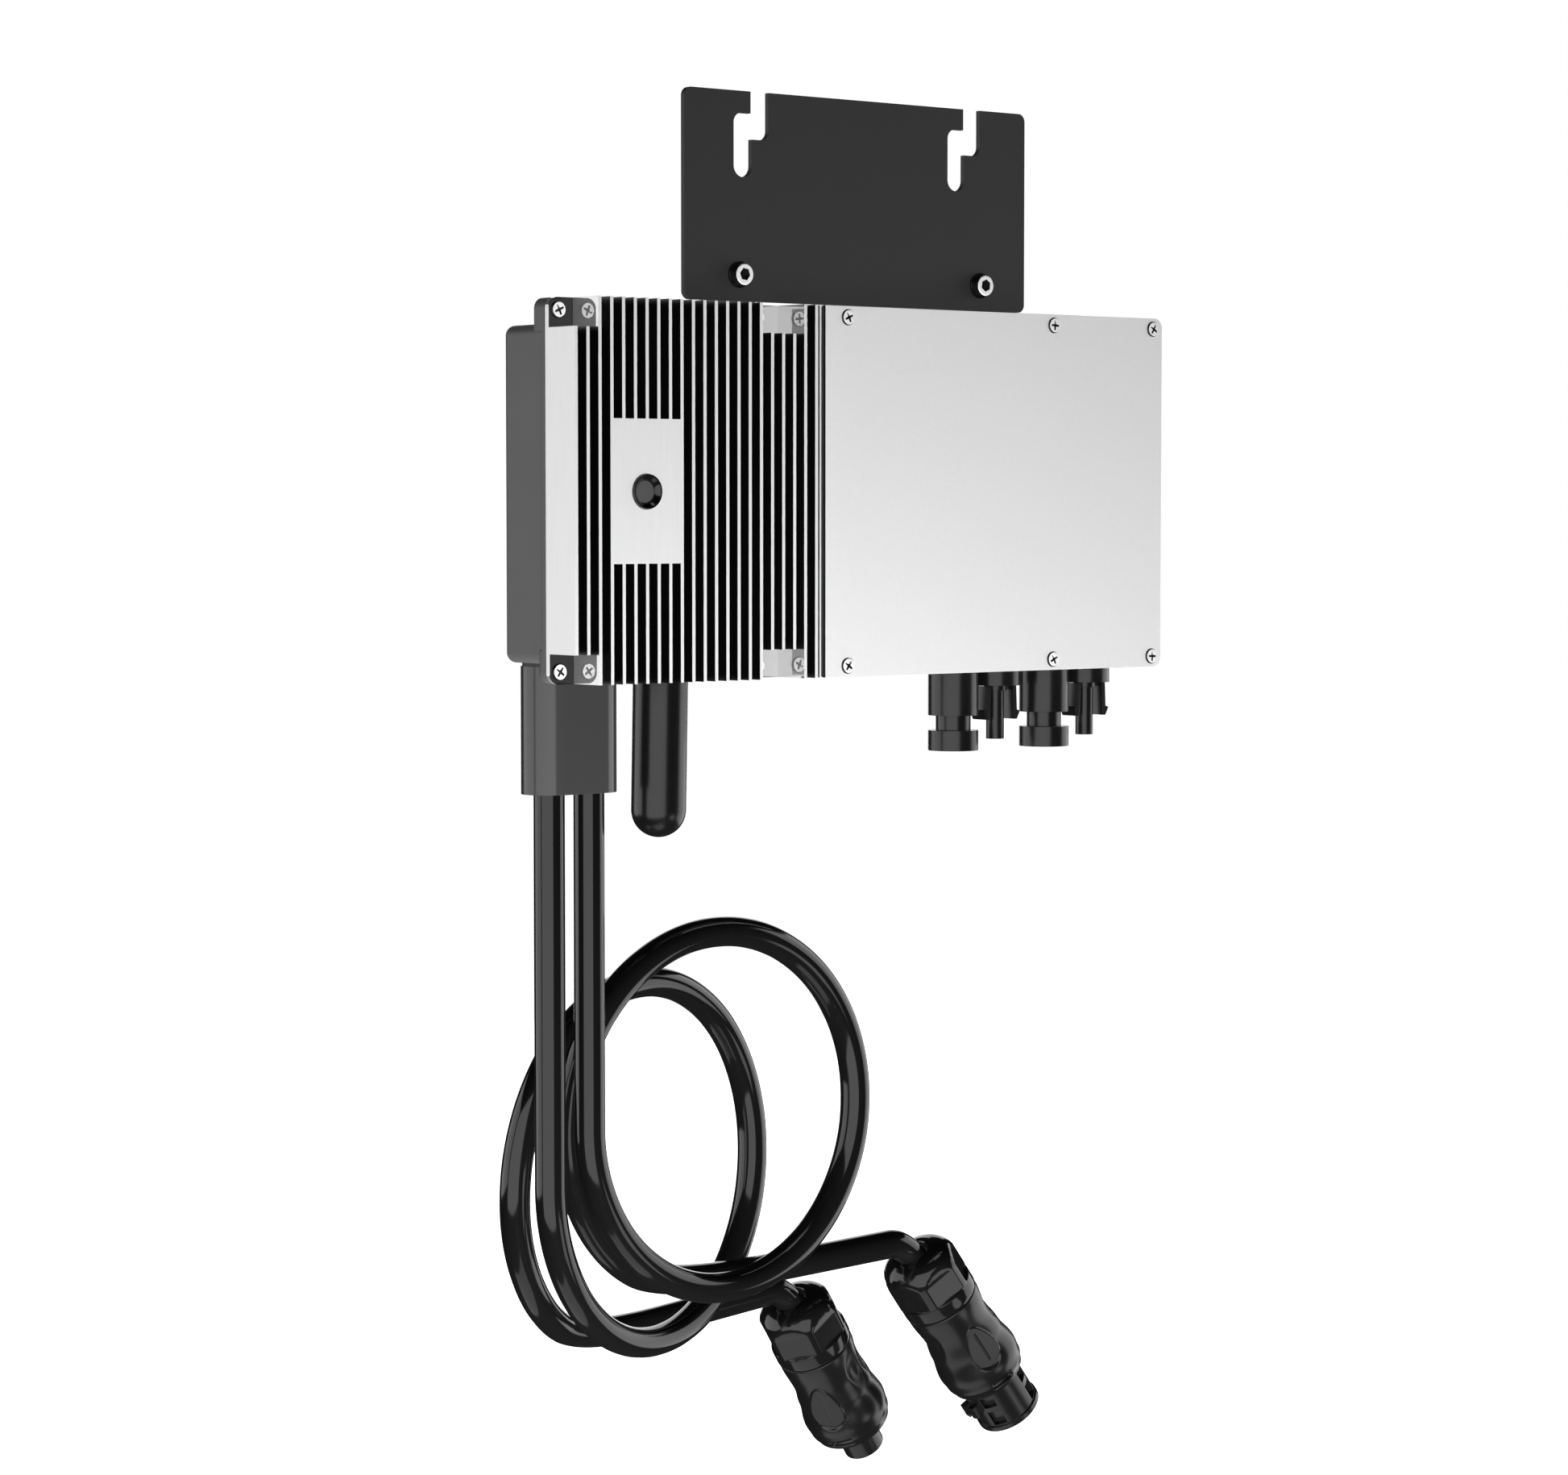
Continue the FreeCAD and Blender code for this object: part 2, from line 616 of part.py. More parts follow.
# ---------------------------------------------------------------- antenna and cable outlet
def make_antenna():
    """Round-ended radome that leans a little, on a collar screwed through the shell."""
    lean = FreeCAD.Rotation(BACK, size("antenna_lean"))
    long = "antenna_top - antenna_end - antenna_round"
    outer = joined(rod((0, 0, 0), "antenna_round", long, DOWN), ball("antenna_round", long))
    inner = joined(rod((0, 0, 1), "antenna_round - 2", long + " + 1", DOWN), ball("antenna_round - 2", long))
    radome = less(outer, inner)
    radome.Placement = FreeCAD.Placement(Vector(), lean)
    place(radome, ("antenna_x", "outlet_y", "antenna_top"))
    piece(radome, "antenna_radome")
    strip = block((-4, -0.5, -46), (4, 0.5, -4))
    element = joined(strip, rod((0, 0, -5), 1.2, 3))
    element.Placement = FreeCAD.Placement(Vector(), lean)
    place(element, ("antenna_x", "outlet_y", "antenna_top"))
    piece(element, "antenna_element")
    collar = rod(("antenna_x", "outlet_y", "antenna_top + 0.3"), "antenna_round", 3.0)
    stem = rod(("antenna_x", "outlet_y", "antenna_top + 0.3"), 4.0, 14)
    feed = rod(("antenna_x", "outlet_y", "antenna_top - 1"), 1.5, 20)
    piece(less(joined(collar, stem), feed), "antenna_collar")
    seal = rod(("antenna_x", "outlet_y", "antenna_top + 3.3"), "antenna_round - 1", 1.0)
    hole = rod(("antenna_x", "outlet_y", "antenna_top"), 4.05, 9)
    piece(less(seal, hole), "antenna_seal")
    nut = hexagon(("antenna_x", "outlet_y", "shell_bottom + wall"), 7.5, 3)
    bore = rod(("antenna_x", "outlet_y", "shell_bottom"), 4.05, 12)
    piece(less(nut, bore), "antenna_nut")


def ball(radius, drop):
    """Sphere below the local origin."""
    sphere = doc.addObject("Part::Sphere", "Ball")
    bind(sphere, Radius=radius)
    place(sphere, (0, 0, "0 - (%s)" % drop))
    return sphere


def make_cable_sleeve():
    """Moulded block of stadium section that both AC leads leave through."""
    outer = oblong("sleeve_round", "sleeve_end", "shell_bottom - 1")
    neck = oblong("sleeve_round - 2.8", "shell_bottom - 2", "shell_bottom + wall + 3")
    sockets = [
        rod((x, "outlet_y", "sleeve_end - 1"), "cable_round + 0.1", "sleeve_socket + 1")
        for x in ("cable_1_x", "cable_1_x + cable_gap")
    ]
    piece(less(joined(outer, neck), *sockets), "cable_sleeve")
    seal = oblong("sleeve_round - 0.6", "shell_bottom - 1", "shell_bottom")
    hole = oblong("sleeve_round - 2.75", "shell_bottom - 2", "shell_bottom + 1")
    piece(less(seal, hole), "sleeve_seal")


# ---------------------------------------------------------------- DC connectors
def make_pv_socket(number, x):
    """Round panel socket: barrel, neck and collar, with a bore for the mating tube."""
    top = "shell_bottom"
    stack = [
        rod((x, "pv_y", "pv_neck_top"), "pv_round", "shell_bottom - pv_neck_top"),
        rod((x, "pv_y", "pv_collar_top"), "pv_neck", "pv_neck_top - pv_collar_top"),
        rod((x, "pv_y", "pv_socket_end"), "pv_round", "pv_collar_top - pv_socket_end"),
        rod((x, "pv_y", top), "pv_shank", "pv_shank_top - shell_bottom"),
    ]
    mouth = rod((x, "pv_y", "pv_socket_end - 1"), "pv_bore", "pv_bore_deep + 1")
    core = rod((x, "pv_y", "pv_socket_end"), "pv_contact", 60)
    piece(less(joined(*stack), mouth, core), "pv_socket_%d" % number)


def make_pv_plug(number, x):
    """Panel plug: block with a thin centre tube."""
    top = "shell_bottom"
    stack = [
        rod((x, "pv_y", "pv_block_end"), "pv_round + 0.1", top + " - pv_block_end"),
        rod((x, "pv_y", "pv_tube_end"), "pv_tube", "pv_block_end - pv_tube_end"),
        rod((x, "pv_y", "pv_block_end - 2"), "pv_tube + 0.9", 2),
        rod((x, "pv_y", top), "pv_shank", "pv_shank_top - shell_bottom"),
    ]
    core = rod((x, "pv_y", "pv_tube_end - 1"), "pv_contact", 60)
    piece(less(joined(*stack), core), "pv_plug_%d" % number)


def make_latch_arm(name, x, side):
    """Springy arm beside the tube, with a barb that points away from it."""
    body = new_body("LatchArm")
    profile = new_sketch(body, "ArmOutline", "front", "pv_y")
    root = "pv_block_end - latch_gap"
    inner = "latch_inset"
    outline = (
        (inner, root),
        (inner + " + latch_thick", root),
        (inner + " + latch_thick + latch_lean", root + " - latch_long * 0.72"),
        (inner + " + latch_thick + latch_lean + latch_barb", root + " - latch_long * 0.76"),
        (inner + " + latch_thick + latch_lean", root + " - latch_long"),
        (inner + " + latch_lean", root + " - latch_long"),
    )
    sign = "+" if side > 0 else "-"
    add_polygon(profile, [("%s %s (%s)" % (x, sign, across), along) for across, along in outline])
    pad(body, profile, "latch_wide", midplane=True)
    return piece(body, name)


def make_pv_connectors():
    for number, x in enumerate(PV_SOCKETS, start=1):
        make_pv_socket(number, x)
    for number, x in enumerate(PV_PLUGS, start=1):
        make_pv_plug(number, x)
        for letter, side in (("a", -1), ("b", 1)):
            make_latch_arm("pv_latch_%d%s" % (number, letter), x, side)
    contacts = []
    for x in PV_SOCKETS:
        foot = "pv_socket_end + pv_bore_deep"
        contacts.append(rod((x, "pv_y", foot), "pv_contact - 0.02", "pv_shank_top + 3 - (%s)" % foot))
    for x in PV_PLUGS:
        foot = "pv_tube_end + 1"
        barrel = rod((x, "pv_y", foot), "pv_contact - 0.02", "pv_shank_top + 3 - (%s)" % foot)
        contacts.append(less(barrel, rod((x, "pv_y", foot), 1.2, 12)))
    piece(group(*contacts), "pv_contacts")
    nuts = []
    for x in PV_SOCKETS + PV_PLUGS:
        nut = hexagon((x, "pv_y", "shell_bottom + wall"), 7.4, 4)
        nuts.append(less(nut, rod((x, "pv_y", "shell_bottom"), "pv_shank + 0.02", 12)))
    piece(group(*nuts), "pv_lock_nuts")


# ---------------------------------------------------------------- AC plugs
PLUGS = {
    "left": {
        "dome": Vector(20.9, 59.0, -421.3), "axis": Vector(0.551, 0.085, -0.829),
        "pad_side": Vector(-0.68, -0.53, -0.51),
    },
    "right": {
        "dome": Vector(63.6, 37.5, -405.55), "axis": Vector(0.599, 0.0, -0.800),
        "pad_side": Vector(-0.20, -0.97, -0.15),
    },
}


def plug_placement(side):
    """Local origin at the gland's top, +Z to the plug's tip, +X out of its rating pad."""
    plug = PLUGS[side]
    turn = FreeCAD.Rotation(plug["pad_side"], Vector(), plug["axis"], "ZXY")
    return FreeCAD.Placement(plug["dome"], turn)


def turned(points, arcs=()):
    """Solid of revolution about local Z through (radius, height) points.

    A point whose index is in arcs is the middle of a three-point arc.
    """
    spots = [Vector(radius, 0, height) for radius, height in points]
    edges = []
    index = 0
    while index < len(spots) - 1:
        if index + 1 in arcs:
            edges.append(Part.Arc(spots[index], spots[index + 1], spots[index + 2]).toShape())
            index += 2
        else:
            edges.append(Part.LineSegment(spots[index], spots[index + 1]).toShape())
            index += 1
    edges.append(Part.LineSegment(spots[-1], spots[0]).toShape())
    face = Part.Face(Part.Wire(edges))
    return face.revolve(Vector(), UP, 360)


def stick(shape, side, label):
    """A piece of an AC plug, from a shape in the plug's own frame."""
    feature = doc.addObject("Part::Feature", "PlugPiece")
    feature.Shape = shape
    feature.Placement = plug_placement(side)
    return piece(feature, label)


def tube(outer, inner, low, high):
    """Plain ring about local Z."""
    ring = Part.makeCylinder(outer, high - low, Vector(0, 0, low))
    return ring.cut(Part.makeCylinder(inner, high - low, Vector(0, 0, low)))


NUT_END = 24.2
SHELL_START = 24.5
SHELL_END = 66.0
CABLE_HOLE = 5.9


def gland_nut():
    """Domed cap nut with six flats, hollow for the clamp and the body's spigot."""
    solid = turned(
        [
            (CABLE_HOLE, 0.0), (8.6, 0.0), (13.4, 1.9), (15.4, 6.6), (15.5, NUT_END),
            (12.0, NUT_END), (12.0, 8.0), (9.5, 4.2), (CABLE_HOLE, 4.2),
        ],
        arcs=(2,),
    )
    flat_depth = 14.0
    for index in range(6):
        bite = Part.makeBox(4, 17, 11.5, Vector(flat_depth, -8.5, 7.0))
        bite.rotate(Vector(), UP, 60 * index)
        solid = solid.cut(bite)
    return solid


def plug_shell():
    """Waisted housing that swells near its front, with a threaded spigot."""
    solid = turned(
        [
            (9.0, 14.0), (11.92, 14.0), (11.92, SHELL_START), (15.0, SHELL_START),
            (14.2, 35.0), (15.2, 46.0), (16.7, 54.0), (13.6, SHELL_END),
            (12.8, SHELL_END), (12.8, 40.0), (9.0, 36.0),
        ],
        arcs=(4, 6),
    )
    return solid


def pin_places():
    """The three contacts stand on a circle in the insert."""
    return [Vector(3.4 * math.cos(a), 3.4 * math.sin(a), 0) for a in (0, 2 * math.pi / 3, 4 * math.pi / 3)]


def make_plug_common(side):
    stick(gland_nut(), side, side + "_gland_nut")
    claw = turned([(7.9, 4.8), (8.9, 4.8), (11.2, 8.6), (11.2, 13.6), (7.9, 13.6)])
    for index in range(6):
        slot = Part.makeBox(12, 1.2, 5.5, Vector(0, -0.6, 4.0))
        slot.rotate(Vector(), UP, 60 * index)
        claw = claw.cut(slot)
    stick(claw, side, side + "_cable_clamp")
    stick(tube(7.6, 5.6, 4.6, 10.0), side, side + "_gland_seal")
    stick(plug_shell(), side, side + "_plug_shell")


def make_left_plug():
    """Plug with a narrow round nose that shrouds three pins."""
    make_plug_common("left")
    insert = Part.makeCylinder(12.7, 15, Vector(0, 0, 41))
    pins = []
    for spot in pin_places():
        insert = insert.cut(Part.makeCylinder(1.25, 40, spot + Vector(0, 0, 38)))
        pins.append(Part.makeCylinder(1.23, 29, spot + Vector(0, 0, 41)))
    stick(insert, "left", "left_plug_insert")
    stick(tube(8.0, 6.6, 56, 77), "left", "left_plug_nose")
    stick(Part.makeCompound(pins), "left", "left_plug_pins")


WINDOW_TURNS = (42, 132, 222, 312)
TAB_TURNS = (70, 88)


def socket_ring():
    """Ring with a rim, two blind windows at each quarter and a pair of keys outside it."""
    ring = tube(12.5, 9.4, 53, 84).fuse(tube(13.1, 12.0, 82, 84))
    for turn in TAB_TURNS:
        key = Part.makeBox(4.2, 3.0, 5.5, Vector(11.5, -1.5, 69.0))
        key.rotate(Vector(), UP, turn)
        ring = ring.fuse(key)
    for turn in WINDOW_TURNS:
        for low, high in ((67.2, 72.2), (74.4, 81.2)):
            window = Part.makeBox(5, 5.5, high - low, Vector(10.1, -2.75, low))
            window.rotate(Vector(), UP, turn)
            ring = ring.cut(window)
    return ring.removeSplitter()


def make_right_plug():
    """Socket end: a windowed ring round a core with three contacts."""
    make_plug_common("right")
    insert = Part.makeCylinder(12.7, 12, Vector(0, 0, 41))
    core = Part.makeCylinder(6.0, 17, Vector(0, 0, 53))
    sockets = []
    for spot in pin_places():
        hole = Part.makeCylinder(1.9, 40, spot + Vector(0, 0, 38))
        insert = insert.cut(hole)
        core = core.cut(hole)
        barrel = Part.makeCylinder(1.87, 28, spot + Vector(0, 0, 41))
        sockets.append(barrel.cut(Part.makeCylinder(1.25, 14, spot + Vector(0, 0, 55))))
    stick(insert, "right", "right_plug_insert")
    stick(core, "right", "right_plug_core")
    stick(Part.makeCompound(sockets), "right", "right_plug_contacts")
    stick(socket_ring(), "right", "right_socket_ring")


# ---------------------------------------------------------------- AC leads
TURN_STEP = 30
TURN_POINTS = 15
LOOPS = {
    "left": {
        "level": -356.6, "half_wide": 62.0, "half_high": 65.7,
        "tilt": 37.5, "drift": (0.5, 22.0, -3.0),
    },
    "right": {
        "level": -338.1, "half_wide": 65.4, "half_high": 65.0,
        "tilt": 7.5, "drift": (0.0, 12.6, -1.5),
    },
}


def lead_start(side):
    """Where a lead enters its socket in the sleeve."""
    offset = size("cable_gap") if side == "right" else 0.0
    return Vector(size("cable_1_x") + offset, size("outlet_y"), size("sleeve_end") + size("sleeve_socket"))


def lead_route(side):
    """Corners of a lead: straight down, one full turn and a quarter, then into its gland.

    The turn is an ellipse whose plane leans back to the right; it drifts as it goes round,
    so that its second pass clears its first.
    """
    loop = LOOPS[side]
    start = lead_start(side)
    reach = 1 / math.cos(math.radians(TURN_STEP / 2))
    points = [start]
    for index in range(TURN_POINTS):
        angle = math.radians(TURN_STEP * (index + 0.5))
        share = angle / (2 * math.pi)
        out = 1 - reach * math.cos(angle)
        points.append(
            Vector(
                start.x + loop["half_wide"] * out + loop["drift"][0] * share,
                start.y + loop["tilt"] * out / 2 + loop["drift"][1] * share ** 2,
                loop["level"] - loop["half_high"] * reach * math.sin(angle) + loop["drift"][2] * share,
            )
        )
    plug = PLUGS[side]
    axis = Vector(plug["axis"])
    axis.normalize()
    points.append(plug["dome"] - axis * size("gland_stand_off"))
    points.append(plug["dome"] + axis * size("gland_deep"))
    return points


def rounded_path(points):
    """Straight runs joined by tangent arcs, each as large as its two runs allow."""
    edges = []
    radii = []
    last = points[0]
    for before, corner, after in zip(points, points[1:], points[2:]):
        back = (before - corner).normalize()
        ahead = (after - corner).normalize()
        half_turn = (math.pi - back.getAngle(ahead)) / 2
        trim = 0.45 * min(before.distanceToPoint(corner), after.distanceToPoint(corner))
        radius = trim / math.tan(half_turn)
        radii.append(round(radius, 1))
        begin = corner + back * trim
        end = corner + ahead * trim
        bisector = (back + ahead).normalize()
        middle = corner + bisector * (radius / math.cos(half_turn) - radius)
        edges.append(Part.LineSegment(last, begin).toShape())
        edges.append(Part.Arc(begin, middle, end).toShape())
        last = end
    edges.append(Part.LineSegment(last, points[-1]).toShape())
    return Part.Wire(edges), radii


def make_lead(side):
    """The free AC lead from the sleeve to its plug."""
    points = lead_route(side)
    path, radii = rounded_path(points)
    section = Part.Wire(Part.Circle(points[0], points[1] - points[0], size("cable_round")).toShape())
    sweep = path.makePipeShell([section], True, True)
    expected = math.pi * size("cable_round") ** 2 * path.Length
    if abs(sweep.Volume / expected - 1) > 0.01:
        raise RuntimeError("the %s lead's volume is wrong" % side)
    feature = doc.addObject("Part::Feature", "Lead")
    feature.Shape = sweep
    feature.Placement = FreeCAD.Placement()
    piece(feature, "ac_cable_" + side)
    print(side, "lead: length", round(path.Length, 1), "mm, bend radii", radii)
    print(side, "lead points:", [tuple(round(c, 1) for c in point) for point in points])


# ---------------------------------------------------------------- circuit
BOARD_BACK = "board_front + board_thick"


def standoff_places():
    rows = ("board_low + 5", "board_top - 5")
    return [(x, z) for x in ("board_left + 6", "board_right - 6", "3.5") for z in rows]


def make_board():
    board = block(
        ("board_left", "board_front", "board_low"),
        ("board_right", BOARD_BACK, "board_top"),
    )
    holes = [rod((x, "board_front - 1", z), 1.6, 5, BACK) for x, z in standoff_places()]
    piece(less(board, *holes), "circuit_board")
    posts = []
    screws = []
    for x, z in standoff_places():
        post = rod((x, 0, z), 3.0, "board_front", BACK)
        posts.append(less(post, rod((x, "board_front - 7", z), 1.5, 8, BACK)))
        head = rod((x, BOARD_BACK, z), 2.8, 1.8, BACK)
        screws.append(joined(head, rod((x, BOARD_BACK, z), 1.48, "board_thick + 5", FRONT)))
    piece(group(*posts), "board_standoffs")
    piece(group(*screws), "board_screws")


def make_transformers():
    """Two cores with a winding round each centre leg."""
    cores = []
    windings = []
    for x in (-62.0, -8.0):
        z = -112.0
        core = block((x - 20, 14.4, z - 17), (x + 20, 22.4, z + 17))
        windows = [block((a, 13, z - 10.2), (b, 24, z + 10.2)) for a, b in ((x - 14.2, x - 6), (x + 6, x + 14.2))]
        cores.append(less(core, *windows))
        coil = block((x - 14, BOARD_BACK, z - 10), (x + 14, 24.2, z + 10))
        windings.append(less(coil, block((x - 6.2, 14.2, z - 11), (x + 6.2, 22.6, z + 11))))
    piece(group(*cores), "transformer_cores")
    piece(group(*windings), "transformer_windings")


def make_capacitors():
    cans = [rod((x, BOARD_BACK, z), 9.0, 11.5, BACK) for x in (62.0, 84.0) for z in (-84.0, -106.0)]
    piece(group(*cans), "bulk_capacitors")
    films = [block((32, BOARD_BACK, z), (46, 24.0, z + 28)) for z in (-104.0, -146.0)]
    piece(group(*films), "film_capacitors")


def make_choke_and_relay():
    choke = doc.addObject("Part::Torus", "Choke")
    choke.Placement = FreeCAD.Placement(Vector(), FreeCAD.Rotation(UP, BACK))
    bind(choke, Radius1=10, Radius2=4)
    place(choke, (-104, BOARD_BACK + " + 4.2", -90))
    piece(choke, "filter_choke")
    piece(block((100, BOARD_BACK, -140), (122, 24.0, -122)), "relay")
    can = block((-112, BOARD_BACK, -136), (-94, "board_front + board_thick + 3", -116))
    piece(can, "wireless_module")


def make_power_stage():
    """Transistors pressed on a thermal pad against the casting's back."""
    pad_sheet = block((-90, 0, -146), (60, 0.8, -132))
    piece(pad_sheet, "thermal_pad")
    transistors = []
    for index in range(6):
        x = -86.0 + 24 * index
        package = block((x, 0.8, -145), (x + 15, 5.4, -133))
        legs = [block((x + a, 3, -133.5), (x + a + 1, 4, -128)) for a in (2.5, 7, 11.5)]
        bent = [block((x + a, 3, -129), (x + a + 1, "board_front", -128)) for a in (2.5, 7, 11.5)]
        transistors.append(joined(package, *legs, *bent))
    piece(group(*transistors), "power_transistors")


# ---------------------------------------------------------------- build, test and write
def build():
    make_front_casting()
    make_front_cover()
    make_cover_gasket()
    make_cover_screws()
    make_casting_screws()
    make_rear_housing()
    make_housing_gasket()
    make_bracket()
    make_bracket_fasteners()
    make_lamp()
    make_antenna()
    make_cable_sleeve()
    make_pv_connectors()
    make_left_plug()
    make_right_plug()
    for side in ("left", "right"):
        make_lead(side)
    make_board()
    make_transformers()
    make_capacitors()
    make_choke_and_relay()
    make_power_stage()
    doc.recompute()


def check_and_write():
    """Stop on any failed object or bad shape, then write one file for each piece."""
    for obj in doc.Objects:
        if "Invalid" in obj.State or "Error" in obj.State:
            raise RuntimeError("%s (%s) failed: %s" % (obj.Name, obj.Label, obj.State))
    os.makedirs("parts", exist_ok=True)
    for obj in pieces:
        shape = obj.Shape
        if shape.isNull() or not shape.isValid() or not shape.Solids:
            raise RuntimeError("%s has a bad shape" % obj.Label)
    for obj in pieces:
        obj.Shape.exportStep(os.path.join("parts", obj.Label + ".step"))
    print(len(pieces), "pieces written")


build()
check_and_write()
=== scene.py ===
"""Looks of the micro inverter: camera, light, leads, detailed plugs and every material."""

import json
import math

import bpy
from mathutils import Matrix, Vector


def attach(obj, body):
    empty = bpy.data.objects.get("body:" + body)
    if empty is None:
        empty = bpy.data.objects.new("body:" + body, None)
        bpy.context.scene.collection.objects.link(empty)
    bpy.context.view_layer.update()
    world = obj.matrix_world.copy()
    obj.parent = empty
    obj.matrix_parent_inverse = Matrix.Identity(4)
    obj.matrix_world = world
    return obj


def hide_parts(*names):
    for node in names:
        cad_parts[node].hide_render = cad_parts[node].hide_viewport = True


MM = 0.001
TAU = 2 * math.pi

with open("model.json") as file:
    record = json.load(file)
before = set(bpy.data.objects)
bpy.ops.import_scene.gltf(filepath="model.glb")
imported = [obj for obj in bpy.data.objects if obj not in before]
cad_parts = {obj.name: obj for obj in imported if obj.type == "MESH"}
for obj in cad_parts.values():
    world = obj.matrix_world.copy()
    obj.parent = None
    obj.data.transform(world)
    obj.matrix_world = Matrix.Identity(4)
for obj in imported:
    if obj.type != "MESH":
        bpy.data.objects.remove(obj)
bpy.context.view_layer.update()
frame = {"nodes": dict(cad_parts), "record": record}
NODES = frame["nodes"]


# ---------------------------------------------------------------- camera
CAMERA_PLACE = Vector((-925.1, -1108.1, -120.7)) * MM
CAMERA_YAW = math.radians(38.94)
CAMERA_PITCH = math.radians(3.29)
CAMERA_LENS = 91.31


def make_camera():
    data = bpy.data.cameras.new("Camera")
    data.lens = CAMERA_LENS
    data.sensor_width = 36.0
    data.clip_start = 0.05
    data.clip_end = 50.0
    camera = bpy.data.objects.new("Camera", data)
    bpy.context.scene.collection.objects.link(camera)
    camera.location = CAMERA_PLACE
    camera.rotation_euler = (math.pi / 2 - CAMERA_PITCH, 0.0, -CAMERA_YAW)
    bpy.context.scene.camera = camera


# ---------------------------------------------------------------- light and stage
FLOOR_LEVEL = -0.62
FLOOR_REACH = 6.0
LIGHT_TARGET = Vector((0.0, 0.03, -0.22))
# A fill lights without shadow or reflection, a mirror is only seen in reflections.
SOFTBOXES = (
    # name, azimuth, elevation, distance, width, height, radiance
    ("front_left_mirror", -141.0, -4.0, 2.3, 4.0, 2.6, 1.7),
    ("left_box", -218.0, 4.0, 2.3, 2.6, 1.7, 1.7),
    ("front_right_mirror", -10.0, -3.0, 2.3, 2.4, 2.6, 1.8),
    ("low_left_box", -166.0, -76.6, 1.78, 1.9, 0.85, 0.85),
    ("low_front_box", -65.0, -27.0, 2.2, 0.7, 0.55, 1.6),
    ("front_fill", -120.0, -48.0, 0.72, 0.4, 0.3, 33.5),
    ("rear_fill", 80.0, 25.0, 1.8, 1.2, 0.8, 5.0),
    ("rear_box", 55.0, 10.0, 2.3, 1.6, 1.7, 1.5),
    ("top_box", -90.0, 78.0, 2.0, 0.7, 0.5, 1.6),
)


def make_lights():
    """Softboxes in a ring, each an azimuth and elevation as seen from the object."""
    for name, azimuth, elevation, distance, width, height, radiance in SOFTBOXES:
        data = bpy.data.lights.new(name, "AREA")
        data.shape = "RECTANGLE"
        data.size = width
        data.size_y = height
        data.energy = radiance * math.pi * width * height
        data.use_shadow = not name.endswith("fill")
        light = bpy.data.objects.new(name, data)
        bpy.context.scene.collection.objects.link(light)
        turn, rise = math.radians(azimuth), math.radians(elevation)
        outward = Vector((math.cos(turn) * math.cos(rise), math.sin(turn) * math.cos(rise), math.sin(rise)))
        light.location = LIGHT_TARGET + outward * distance
        light.rotation_euler = outward.to_track_quat("Z", "Y").to_euler()
        light.visible_camera = False
        light.visible_glossy = not name.endswith("fill")
        light.visible_diffuse = not name.endswith("mirror")


def make_world():
    """White where the camera looks past the object, dim where the object mirrors it."""
    world = bpy.data.worlds.new("Studio")
    bpy.context.scene.world = world
    world.use_nodes = True
    tree = world.node_tree
    tree.nodes.clear()
    seen = tree.nodes.new("ShaderNodeBackground")
    seen.inputs["Color"].default_value = (1.0, 1.0, 1.0, 1.0)
    mirrored = tree.nodes.new("ShaderNodeBackground")
    mirrored.inputs["Color"].default_value = (1.0, 1.0, 1.0, 1.0)
    mirrored.inputs["Strength"].default_value = 0.02
    path = tree.nodes.new("ShaderNodeLightPath")
    mix = tree.nodes.new("ShaderNodeMixShader")
    output = tree.nodes.new("ShaderNodeOutputWorld")
    tree.links.new(path.outputs["Is Camera Ray"], mix.inputs["Fac"])
    tree.links.new(mirrored.outputs[0], mix.inputs[1])
    tree.links.new(seen.outputs[0], mix.inputs[2])
    tree.links.new(mix.outputs[0], output.inputs["Surface"])
    bpy.context.scene.view_settings.view_transform = "Standard"


def make_stage():
    """A wide pale floor that neither shades the object nor shows in its gloss."""
    mesh = bpy.data.meshes.new("floor")
    far = FLOOR_REACH
    corners = [(-far, -far), (far, -far), (far, far), (-far, far)]
    mesh.from_pydata([(x, y, FLOOR_LEVEL) for x, y in corners], [], [(0, 1, 2, 3)])
    floor = bpy.data.objects.new("floor", mesh)
    bpy.context.scene.collection.objects.link(floor)
    pale = bpy.data.materials.new("pale_floor")
    pale.use_nodes = True
    shader = pale.node_tree.nodes["Principled BSDF"]
    shader.inputs["Base Color"].default_value = (0.9, 0.9, 0.9, 1.0)
    shader.inputs["Roughness"].default_value = 0.9
    shader.inputs["Emission Color"].default_value = (1.0, 1.0, 1.0, 1.0)
    shader.inputs["Emission Strength"].default_value = 1.03
    mesh.materials.append(pale)
    floor.visible_glossy = False
    floor.visible_diffuse = False
    floor.visible_shadow = False


# ---------------------------------------------------------------- materials
MOTTLE = 0.04
BROAD_SCALE = 38.0
GRAIN_DEEP = 0.1
BLACK = (0.004, 0.004, 0.0042)


